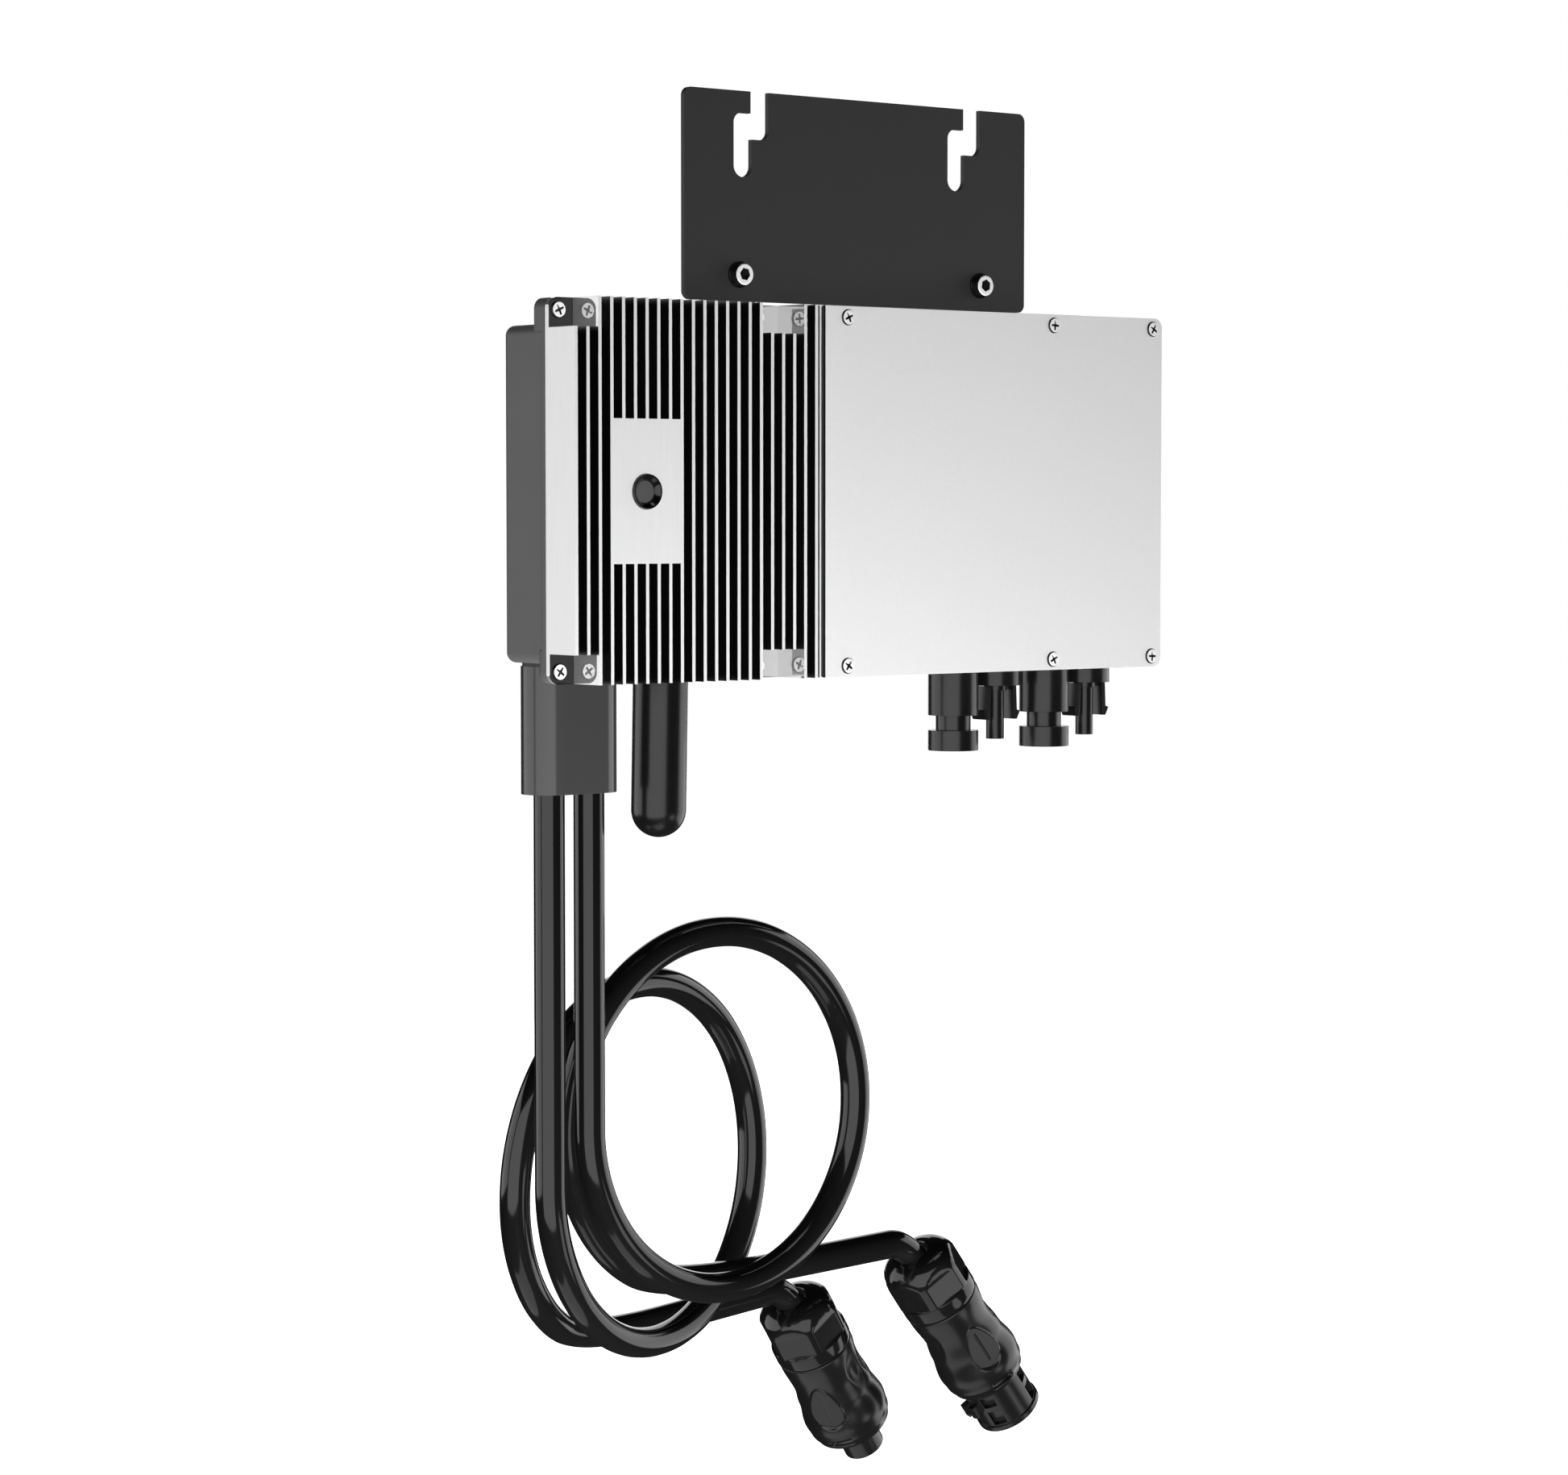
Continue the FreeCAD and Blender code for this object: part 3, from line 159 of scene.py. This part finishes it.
def finish(name, colour, metallic, rough, spread=0.04, grain=900.0, bump=0.02, edge=0.3,
           stretch=(1.0, 1.0, 1.0), sheen=0.5, patches=()):
    """A procedural finish: mottled colour, uneven gloss, fine grain and soft edges.

    spread is how far the roughness wanders, and edge is the width in millimetres of the
    rounding drawn on sharp edges. Each patch is a mask with the grey level, metallic and
    roughness that hold inside it.
    """
    material = bpy.data.materials.new(name)
    material.use_nodes = True
    tree = material.node_tree
    nodes, links = tree.nodes, tree.links
    shader = nodes["Principled BSDF"]
    shader.inputs["Specular IOR Level"].default_value = sheen
    metal = nodes.new("ShaderNodeValue").outputs[0]
    metal.default_value = metallic
    place = nodes.new("ShaderNodeTexCoord")
    mapping = nodes.new("ShaderNodeMapping")
    mapping.inputs["Scale"].default_value = stretch
    links.new(place.outputs["Object"], mapping.inputs["Vector"])

    def noise(scale, detail):
        node = nodes.new("ShaderNodeTexNoise")
        node.inputs["Scale"].default_value = scale
        node.inputs["Detail"].default_value = detail
        links.new(mapping.outputs["Vector"], node.inputs["Vector"])
        return node.outputs["Fac"]

    fine = noise(grain, 3.0)
    broad = noise(BROAD_SCALE, 2.0)
    gloss = nodes.new("ShaderNodeMapRange")
    gloss.inputs["To Min"].default_value = max(rough - spread, 0.02)
    gloss.inputs["To Max"].default_value = rough + spread
    links.new(broad, gloss.inputs["Value"])
    dullness = gloss.outputs["Result"]
    tint = nodes.new("ShaderNodeMix")
    tint.data_type = "RGBA"
    tint.inputs["A"].default_value = (*[c * (1 - MOTTLE) for c in colour], 1.0)
    tint.inputs["B"].default_value = (*[min(c * (1 + MOTTLE), 1.0) for c in colour], 1.0)
    links.new(fine, tint.inputs["Factor"])
    result = tint.outputs["Result"]
    for mask, grey, patch_metal, patch_rough in patches:
        factor = mask(tree, place.outputs["Object"])
        cover = nodes.new("ShaderNodeMix")
        cover.data_type = "RGBA"
        cover.inputs["B"].default_value = (grey, grey, grey, 1.0)
        links.new(factor, cover.inputs["Factor"])
        links.new(result, cover.inputs["A"])
        result = cover.outputs["Result"]
        metal = swapped(tree, factor, metal, patch_metal)
        dullness = swapped(tree, factor, dullness, patch_rough)
    links.new(result, shader.inputs["Base Color"])
    links.new(metal, shader.inputs["Metallic"])
    links.new(dullness, shader.inputs["Roughness"])
    grainy = nodes.new("ShaderNodeBump")
    grainy.inputs["Strength"].default_value = bump
    grainy.inputs["Distance"].default_value = GRAIN_DEEP * MM
    links.new(fine, grainy.inputs["Height"])
    if edge:
        soft = nodes.new("ShaderNodeBevel")
        soft.samples = 4
        soft.inputs["Radius"].default_value = edge * MM
        links.new(soft.outputs["Normal"], grainy.inputs["Normal"])
    links.new(grainy.outputs["Normal"], shader.inputs["Normal"])
    return material


def swapped(tree, factor, value, other):
    """A value outside a mask, another inside it."""
    node = tree.nodes.new("ShaderNodeMix")
    node.inputs["B"].default_value = other
    tree.links.new(factor, node.inputs["Factor"])
    tree.links.new(value, node.inputs["A"])
    return node.outputs["Result"]


def between(tree, value, low, high):
    """1 where a value in metres lies between two millimetre bounds."""
    above = tree.nodes.new("ShaderNodeMath")
    above.operation = "GREATER_THAN"
    above.inputs[1].default_value = low * MM
    below = tree.nodes.new("ShaderNodeMath")
    below.operation = "LESS_THAN"
    below.inputs[1].default_value = high * MM
    both = tree.nodes.new("ShaderNodeMath")
    both.operation = "MULTIPLY"
    tree.links.new(value, above.inputs[0])
    tree.links.new(value, below.inputs[0])
    tree.links.new(above.outputs[0], both.inputs[0])
    tree.links.new(below.outputs[0], both.inputs[1])
    return both.outputs[0]


def product(tree, first, second):
    node = tree.nodes.new("ShaderNodeMath")
    node.operation = "MULTIPLY"
    tree.links.new(first, node.inputs[0])
    tree.links.new(second, node.inputs[1])
    return node.outputs[0]


def opposite(tree, value):
    node = tree.nodes.new("ShaderNodeMath")
    node.operation = "SUBTRACT"
    node.inputs[0].default_value = 1.0
    tree.links.new(value, node.inputs[1])
    return node.outputs[0]


def either(tree, first, second):
    node = tree.nodes.new("ShaderNodeMath")
    node.operation = "MAXIMUM"
    tree.links.new(first, node.inputs[0])
    tree.links.new(second, node.inputs[1])
    return node.outputs[0]


def split_place(tree, place):
    split = tree.nodes.new("ShaderNodeSeparateXYZ")
    tree.links.new(place, split.inputs[0])
    return split.outputs["X"], split.outputs["Y"], split.outputs["Z"]


def cover_side_shade_mask(tree, place):
    """The left edge of the cover, painted black as the shade of the gap beside it."""
    x, y, z = split_place(tree, place)
    return product(tree, between(tree, x, -25.0, -24.3), between(tree, y, -16.85, -14.0))


def painted_shade_floor_mask(tree, place):
    """The floor of the recesses at the outer edge, painted black as shade."""
    x, y, z = split_place(tree, place)
    return product(tree, between(tree, x, -134.15, -121.0), between(tree, y, -2.2, -1.8))


def sleeve_sheen_mask(tree, place):
    """The block that both leads come out of, painted greyer than the rest of the plastic as the sheen on its
    flat face.
    """
    x, y, z = split_place(tree, place)
    return product(tree, between(tree, x, -131.5, -94.0), between(tree, z, -220.0, -168.0))


def recess_mask(tree, place):
    """The screw recesses at the ends of the first fins and of the middle ones."""
    x, y, z = split_place(tree, place)
    left = between(tree, x, -134.15, -119.3)
    middle = between(tree, x, -53.0, -34.1)
    rows = between(tree, z, -170.4, -59.0)
    deep = between(tree, y, -16.95, 1.0)
    return product(tree, product(tree, opposite(tree, rows), either(tree, left, middle)), deep)


def painted_shade_valley_mask(tree, place):
    """Painted shade: the channels between the fins are painted black for the shade that falls deep between
    them; tips, outer wall and recesses stay bare.
    """
    x, y, z = split_place(tree, place)
    channels = product(tree, between(tree, x, -133.4, -25.2), between(tree, y, -16.95, 1.0))
    return product(tree, channels, opposite(tree, recess_mask(tree, place)))


def make_materials():
    """One finish for each material slot, and one black finish painted as shade in the hollows and on the
    sides of the screw heads.
    """
    return {
        # The bright casting takes painted shade: black in the channels between the fins and on the outer
        # recess floors.
        "cast_bright": finish("milled_aluminium", (0.855, 0.855, 0.857), 0.25, 0.42, grain=700.0,
                              stretch=(1.0, 1.0, 0.06), edge=0.12,
                              patches=((painted_shade_valley_mask, 0.003, 0.0, 0.3), (recess_mask, 0.6, 0.65, 0.02),
                                       (painted_shade_floor_mask, 0.006, 0.0, 0.12))),
        # The cover's left edge is painted black as shade.
        "cover_sheet": finish("blasted_aluminium", (0.83, 0.83, 0.832), 0.2, 0.46, grain=1500.0,
                              bump=0.04, edge=0.15, patches=((cover_side_shade_mask, 0.004, 0.0, 0.3),)),
        "dark_cast": finish("grey_powder_coat", (0.085, 0.085, 0.086), 0.0, 0.55, grain=1100.0,
                            bump=0.12, edge=0.6),
        "bracket_black": finish("black_powder_coat", (0.025, 0.025, 0.026), 0.0, 0.6,
                                grain=1300.0, bump=0.1, edge=0.4, sheen=0.36),
        "screw_steel": finish("bright_steel", (1.0, 1.0, 1.0), 0.12, 0.25, grain=800.0, edge=0.1),
        # Painted shade for the screw heads: black in their hollows and on their sides.
        "painted_shade_black": finish("painted_shade_black", (0.006, 0.006, 0.006), 0.0, 0.25, edge=0.0),
        "black_gloss": finish("black_gloss_plastic", BLACK, 0.0, 0.1, spread=0.02, bump=0.01),
        # The sleeve gets a painted sheen: a greyer base colour for the sheen on its flat face.
        "black_matte": finish("black_satin_plastic", BLACK, 0.0, 0.24, spread=0.02, bump=0.012,
                              patches=((sleeve_sheen_mask, 0.043, 0.0, 0.16),)),
        "cable_jacket": finish("cable_jacket", BLACK, 0.0, 0.1, spread=0.02, grain=600.0,
                               bump=0.01, edge=0.0),
        "seal_rubber": finish("seal_rubber", (0.02, 0.02, 0.02), 0.0, 0.6),
        "lens_smoke": finish("smoked_lens", (0.075, 0.075, 0.075), 0.0, 0.35, edge=0.1),
        "contact_metal": finish("plated_brass", (0.72, 0.58, 0.32), 1.0, 0.25),
        "board_green": finish("solder_mask", (0.01, 0.12, 0.05), 0.0, 0.35),
        "ferrite": finish("ferrite", (0.04, 0.04, 0.045), 0.0, 0.6),
        "winding": finish("enamelled_wire", (0.45, 0.17, 0.06), 1.0, 0.3, grain=300.0,
                          stretch=(1.0, 1.0, 9.0), bump=0.4),
        "can_sleeve": finish("can_sleeve", (0.01, 0.01, 0.05), 0.0, 0.3),
        "film_yellow": finish("film_capacitor", (0.55, 0.36, 0.03), 0.0, 0.4),
        "pad_grey": finish("thermal_pad", (0.35, 0.38, 0.42), 0.0, 0.8),
        "shield_tin": finish("tinned_shield", (0.6, 0.6, 0.58), 1.0, 0.35),
    }


# ---------------------------------------------------------------- mesh helpers
def add_object(name, mesh, material, body):
    """Link a mesh as a piece that rides on a body and takes a finish."""
    piece = bpy.data.objects.new(name, mesh)
    bpy.context.scene.collection.objects.link(piece)
    mesh.materials.append(material)
    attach(piece, body)
    return piece


def grid_mesh(name, rows):
    """A skin through rings of points, each ring closed."""
    count = len(rows[0])
    points = [point for ring in rows for point in ring]
    faces = []
    for r in range(len(rows) - 1):
        for c in range(count):
            after = (c + 1) % count
            faces.append((r * count + c, r * count + after, (r + 1) * count + after, (r + 1) * count + c))
    mesh = bpy.data.meshes.new(name)
    mesh.from_pydata(points, [], faces)
    for polygon in mesh.polygons:
        polygon.use_smooth = True
    mesh.update()
    return mesh


def smoothstep(low, high, value):
    share = min(max((value - low) / (high - low), 0.0), 1.0)
    return share * share * (3 - 2 * share)


def along_profile(profile, value):
    """Radius of a smooth outline through (place, radius) points."""
    for (a, first), (b, last) in zip(profile, profile[1:]):
        if value <= b:
            return first + (last - first) * smoothstep(a, b, value)
    return profile[-1][1]


# ---------------------------------------------------------------- AC leads
LEAD_RADIUS = 5.5
TURN_STEP = 30
TURN_POINTS = 15
LEADS = {
    "left": {
        "start": Vector((-121.4, 16.5, -213.6)), "level": -356.6, "half_wide": 62.0,
        "half_high": 65.7, "tilt": 37.5, "drift": (0.5, 22.0, -3.0),
        "dome": Vector((20.9, 59.0, -421.3)), "axis": Vector((0.551, 0.085, -0.829)).normalized(),
    },
    "right": {
        "start": Vector((-104.3, 16.5, -213.6)), "level": -338.1, "half_wide": 65.4,
        "half_high": 65.0, "tilt": 7.5, "drift": (0.0, 12.6, -1.5),
        "dome": Vector((63.6, 37.5, -405.55)), "axis": Vector((0.599, 0.0, -0.800)).normalized(),
    },
}
GLAND_STAND_OFF = 6.0
GLAND_DEEP = 10.0
STRAIGHT_END = 34.0


def lead_route(lead):
    """Corners of a lead: straight down, a full turn and a quarter, then into its gland."""
    start = lead["start"]
    drift = lead["drift"]
    reach = 1 / math.cos(math.radians(TURN_STEP / 2))
    turn = []
    for index in range(TURN_POINTS):
        angle = math.radians(TURN_STEP * (index + 0.5))
        share = angle / TAU
        out = 1 - reach * math.cos(angle)
        turn.append(
            Vector((
                start.x + lead["half_wide"] * out + drift[0] * share,
                start.y + lead["tilt"] * out / 2 + drift[1] * share ** 2,
                lead["level"] - lead["half_high"] * reach * math.sin(angle) + drift[2] * share,
            ))
        )
    straight = turn[0] + (start - turn[0]).normalized() * STRAIGHT_END
    corner = lead["dome"] - lead["axis"] * GLAND_STAND_OFF
    approach = corner + (turn[-1] - corner).normalized() * (GLAND_STAND_OFF + GLAND_DEEP)
    return [start, straight, *turn, approach, corner, lead["dome"] + lead["axis"] * GLAND_DEEP]


def make_lead(side, materials, plug_pieces):
    lead = LEADS[side]
    data = bpy.data.curves.new("ac_lead_" + side, "CURVE")
    data.dimensions = "3D"
    data.bevel_depth = LEAD_RADIUS * MM
    data.bevel_resolution = 10
    data.resolution_u = 24
    data.use_fill_caps = True
    spline = data.splines.new("NURBS")
    route = lead_route(lead)
    spline.points.add(len(route) - 1)
    for point, place in zip(spline.points, route):
        point.co = (*(place * MM), 1.0)
    spline.order_u = 3
    spline.use_endpoint_u = True
    data.materials.append(materials["cable_jacket"])
    piece = bpy.data.objects.new("ac_lead_" + side, data)
    bpy.context.scene.collection.objects.link(piece)
    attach(piece, "inverter")
    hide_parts("ac_cable_" + side)


# ---------------------------------------------------------------- AC plugs
ROUND_STEPS = 240
NUT_RADIUS = 15.5
NUT_FLAT = 14.0
NUT_FLAT_END = 18.2
NUT_PROFILE = [(5.9, 4.0), (5.9, 0.7), (6.3, 0.1), (7.0, 0.0), (8.4, 0.05), (8.9, 0.3),
               (10.2, 0.75), (11.8, 1.6), (13.2, 2.8), (14.3, 4.3), (15.0, 5.8), (15.4, 7.4)]
SEAM = 24.2
SHELL_FROM, SHELL_TO, SHELL_STEP = 24.8, 65.9, 0.35
SHELL_OUTLINE = [(24.6, 14.9), (27.0, 14.95), (37.0, 14.3), (46.0, 15.1), (56.0, 16.7), (61.0, 16.2),
                 (64.5, 15.0), (66.0, 13.8)]
PAD = {"middle": 44.0, "half_long": 10.2, "half_wide": 6.0, "flat": 14.75}
WINDOW = {"low": 60.2, "high": 63.2, "half_wide": 4.6, "deep": 2.4}
GRIP = {"middle": 36.0, "half_long": 9.5, "half_wide": 5.0, "deep": 0.7, "angle": 72.0}
# the way each rating pad faces
FACING = {
    "left": Vector((-0.68, -0.53, -0.51)),
    "right": Vector((-0.20, -0.97, -0.15)),
}
# the pieces at the tip of each plug
ENDS = {
    "left": ("left_plug_nose", "left_plug_pins"),
    "right": ("right_plug_core", "right_socket_ring", "right_plug_contacts"),
}


def plug_frame(side):
    """Matrix from a plug's own frame, +X out of its rating pad and +Z to its tip."""
    lead = LEADS[side]
    tip = lead["axis"]
    facing = FACING[side]
    facing = (facing - tip * facing.dot(tip)).normalized()
    turn = Matrix((facing, tip.cross(facing), tip)).transposed().to_4x4()
    return Matrix.Translation(lead["dome"] * MM) @ turn @ Matrix.Scale(MM, 4)


def place_rows(side, rows):
    matrix = plug_frame(side)
    return [[matrix @ Vector(point) for point in ring] for ring in rows]


def ring_at(height, radius_of):
    """One ring about local Z, its radius a function of the angle."""
    ring = []
    for step in range(ROUND_STEPS):
        angle = TAU * step / ROUND_STEPS
        radius = radius_of(angle)
        ring.append((radius * math.cos(angle), radius * math.sin(angle), height))
    return ring


def flat_radius(angle, apothem):
    """Radius of a hexagon with a flat on +X."""
    sixth = TAU / 6
    off = (angle + sixth / 2) % sixth - sixth / 2
    return apothem / math.cos(off)


def make_gland_nut(side, materials):
    """Domed cap with six flats that stop short of a round collar."""
    rows = [ring_at(height, lambda angle, r=radius: min(r, flat_radius(angle, NUT_FLAT + 0.15)))
            for radius, height in NUT_PROFILE]
    heights = [8.2 + 0.9 * k for k in range(11)]
    heights += [NUT_FLAT_END - 0.5, NUT_FLAT_END - 0.1]
    for height in heights:
        rows.append(ring_at(height, lambda angle: min(NUT_RADIUS, flat_radius(angle, NUT_FLAT))))
    rows.append(ring_at(NUT_FLAT_END, lambda angle: min(NUT_RADIUS, flat_radius(angle, NUT_FLAT) + 0.05)))
    rows.append(ring_at(NUT_FLAT_END + 0.12, lambda angle: NUT_RADIUS - 0.35))
    rows.append(ring_at(NUT_FLAT_END + 0.5, lambda angle: NUT_RADIUS - 0.3))
    for height, radius in ((22.6, 15.2), (23.6, 15.2), (24.0, 15.05), (SEAM, 14.7), (SEAM, 12.2),
                           (20.0, 12.0)):
        rows.append(ring_at(height, lambda angle, r=radius: r))
    mesh = grid_mesh(side + "_gland_nut_skin", place_rows(side, rows))
    piece = add_object(side + "_gland_nut_skin", mesh, materials["black_gloss"],
                       side + "_gland_nut_body")
    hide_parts(side + "_gland_nut")
    return piece


def shell_radius(height, angle):
    """Radius of the plug's housing, with grips, rating pad and latch window."""
    radius = along_profile(SHELL_OUTLINE, height)
    off = (angle + math.pi) % TAU - math.pi
    for sign in (-1, 1):
        for base in (0.0, math.pi):
            centre = base + sign * math.radians(GRIP["angle"])
            away = (angle - centre + math.pi) % TAU - math.pi
            across = away * radius / GRIP["half_wide"]
            long = (height - GRIP["middle"]) / GRIP["half_long"]
            inside = 1 - smoothstep(0.35, 1.0, math.hypot(across, long))
            radius -= GRIP["deep"] * inside
    if abs(off) < 1.0:
        side = radius * math.sin(off)
        long = (height - PAD["middle"]) / PAD["half_long"]
        wide = PAD["half_wide"] * (1.0 + 0.34 * long)
        inside = 1 - smoothstep(0.94, 1.0, math.hypot(side / wide, long))
        flat = PAD["flat"] / math.cos(off) + 0.3 * smoothstep(-1.0, 1.0, long)
        groove = 0.22 * (1 - smoothstep(0.12, 0.3, abs(side))) * (1 - smoothstep(0.62, 0.68, abs(long)))
        radius += (flat - groove - radius) * inside
        window = (
            smoothstep(WINDOW["low"] - 0.15, WINDOW["low"], height)
            * (1 - smoothstep(WINDOW["high"], WINDOW["high"] + 0.15, height))
            * (1 - smoothstep(WINDOW["half_wide"] - 0.2, WINDOW["half_wide"], abs(side)))
        )
        radius -= WINDOW["deep"] * window
    return radius


def make_plug_shell(side, materials):
    """Waisted housing with side grips, a rating pad and a latch window."""
    rows = [ring_at(23.8, lambda angle: 11.92), ring_at(24.45, lambda angle: 11.95),
            ring_at(24.5, lambda angle: 14.6)]
    count = int((SHELL_TO - SHELL_FROM) / SHELL_STEP)
    for k in range(count + 1):
        height = SHELL_FROM + SHELL_STEP * k
        rows.append(ring_at(height, lambda angle, h=height: shell_radius(h, angle)))
    for height, radius in ((66.2, 13.2), (66.3, 12.85), (60.0, 12.82), (50.0, 12.8)):
        rows.append(ring_at(height, lambda angle, r=radius: r))
    mesh = grid_mesh(side + "_plug_housing", place_rows(side, rows))
    piece = add_object(side + "_plug_housing", mesh, materials["black_matte"], "inverter")
    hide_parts(side + "_plug_shell")
    return piece


def make_plug(side, materials):
    """The visible pieces of one plug and the names of the CAD nodes that go with its lead."""
    nut = make_gland_nut(side, materials)
    shell = make_plug_shell(side, materials)
    names = [side + "_gland_seal", side + "_cable_clamp", side + "_plug_insert", *ENDS[side]]
    return [nut, shell] + [NODES[name] for name in names]


# ---------------------------------------------------------------- screw heads
SCREW_STEPS = 96
FACE_STEPS = 24
SHADE_PAINT_LEVEL = 0.6
INNERMOST = 0.02
COVER_SCREWS = [(x, -17.0, z) for x in (-14.2, 85.5, 136.4) for z in (-52.7, -176.7)]
CASTING_SCREWS = [(x, -2.0, z) for x in (-130.2, -43.6) for z in (-52.95, -176.45)]
BRACKET_SCREWS = [(x, -2.9, -38.3) for x in (-51.9, 61.7)]


def turns():
    return [TAU * step / SCREW_STEPS for step in range(SCREW_STEPS)]


def cross_head(radius, shank, long):
    """Rings of a low pan head with a cross recess, from its middle out and down to its tip."""
    face = 0.8
    arm, half_wide, deep = 0.62 * radius, 0.105 * radius, 0.6
    rings = []
    for k in range(FACE_STEPS + 1):
        distance = max(0.86 * radius * k / FACE_STEPS, INNERMOST)
        ring = []
        for angle in turns():
            x, y = distance * math.cos(angle), distance * math.sin(angle)
            near, far = sorted((abs(x), abs(y)))
            taper = half_wide * (1.35 - 0.5 * far / arm)
            inside = (1 - smoothstep(taper, taper + 0.06, near)) * (1 - smoothstep(arm, arm + 0.06, far))
            ring.append((x, y, face - deep * inside))
        rings.append(ring)
    outline = ((0.88, face - 0.04), (0.95, face - 0.3), (1.0, face - 0.5), (1.0, 0.0))
    for share, height in outline:
        rings.append([(share * radius * math.cos(a), share * radius * math.sin(a), height) for a in turns()])
    for height in (0.0, -long):
        rings.append([(shank * math.cos(a), shank * math.sin(a), height) for a in turns()])
    return rings


def socket_head(radius, tall, half_across, deep):
    """Rings of a cylinder head with a hexagon socket."""
    rings = [[(INNERMOST * math.cos(a), INNERMOST * math.sin(a), tall - deep) for a in turns()]]
    for height in (tall - deep, tall - 0.12):
        rings.append([(flat_radius(a, half_across) * math.cos(a), flat_radius(a, half_across) * math.sin(a),
                       height) for a in turns()])
    rings.append([(flat_radius(a, half_across + 0.1) * math.cos(a),
                   flat_radius(a, half_across + 0.1) * math.sin(a), tall) for a in turns()])
    for distance, height in ((radius - 0.32, tall), (radius - 0.1, tall - 0.08), (radius, tall - 0.3),
                             (radius, 0.0), (2.4, 0.0), (2.4, -9.0)):
        rings.append([(distance * math.cos(a), distance * math.sin(a), height) for a in turns()])
    return rings


def make_screws(node, places, rings, is_painted_shade, materials):
    """One mesh of screws that face the front, with painted shade, a black second finish, on the faces that
    the given test picks by ring and height.
    """
    points, faces, dark = [], [], []
    for index, (x, y, z) in enumerate(places):
        turn = math.radians(22 + 31 * index)
        first = len(points)
        for ring in rings:
            for a, b, height in ring:
                across = a * math.cos(turn) - b * math.sin(turn)
                up = a * math.sin(turn) + b * math.cos(turn)
                points.append(((x + across) * MM, (y - height) * MM, (z + up) * MM))
        for r in range(len(rings) - 1):
            for c in range(SCREW_STEPS):
                after = (c + 1) % SCREW_STEPS
                here, there = first + r * SCREW_STEPS, first + (r + 1) * SCREW_STEPS
                faces.append((here + c, here + after, there + after, there + c))
                dark.append(is_painted_shade(r, min(rings[r][c][2], rings[r + 1][c][2])))
    mesh = bpy.data.meshes.new(node + "_detailed")
    mesh.from_pydata(points, [], faces)
    piece = add_object(node + "_detailed", mesh, materials["screw_steel"], "inverter")
    # the second finish is painted shade
    mesh.materials.append(materials["painted_shade_black"])
    for polygon, shade in zip(mesh.polygons, dark):
        polygon.material_index = 1 if shade else 0
    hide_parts(node)


def make_all_screws(materials):
    # Painted shade below this level: the cross recesses and the sides of the pan heads.
    def in_painted_shade(ring, height):
        return height < SHADE_PAINT_LEVEL

    make_screws("cover_screws", COVER_SCREWS, cross_head(2.9, 1.3, 9.0), in_painted_shade, materials)
    make_screws("casting_screws", CASTING_SCREWS, cross_head(2.95, 1.65, 7.0), in_painted_shade, materials)
    # Painted shade on the socket heads: the hex socket and the side of the head.
    make_screws("bracket_screws", BRACKET_SCREWS, socket_head(3.75, 2.85, 1.9, 1.75),
                lambda ring, height: ring < 3 or ring > 5, materials)


# ---------------------------------------------------------------- dressing the CAD nodes
def dress_nodes(materials):
    """Give every CAD node that stays visible the finish of its material slot."""
    for part in frame["record"]["subparts"]:
        node = NODES[part["node"]]
        node.data.materials.clear()
        node.data.materials.append(materials[part["material_slot"]])


# ---------------------------------------------------------------- everything
make_camera()
make_world()
make_lights()
make_stage()
MATERIALS = make_materials()
dress_nodes(MATERIALS)
make_all_screws(MATERIALS)
for lead_side in ("left", "right"):
    make_lead(lead_side, MATERIALS, make_plug(lead_side, MATERIALS))
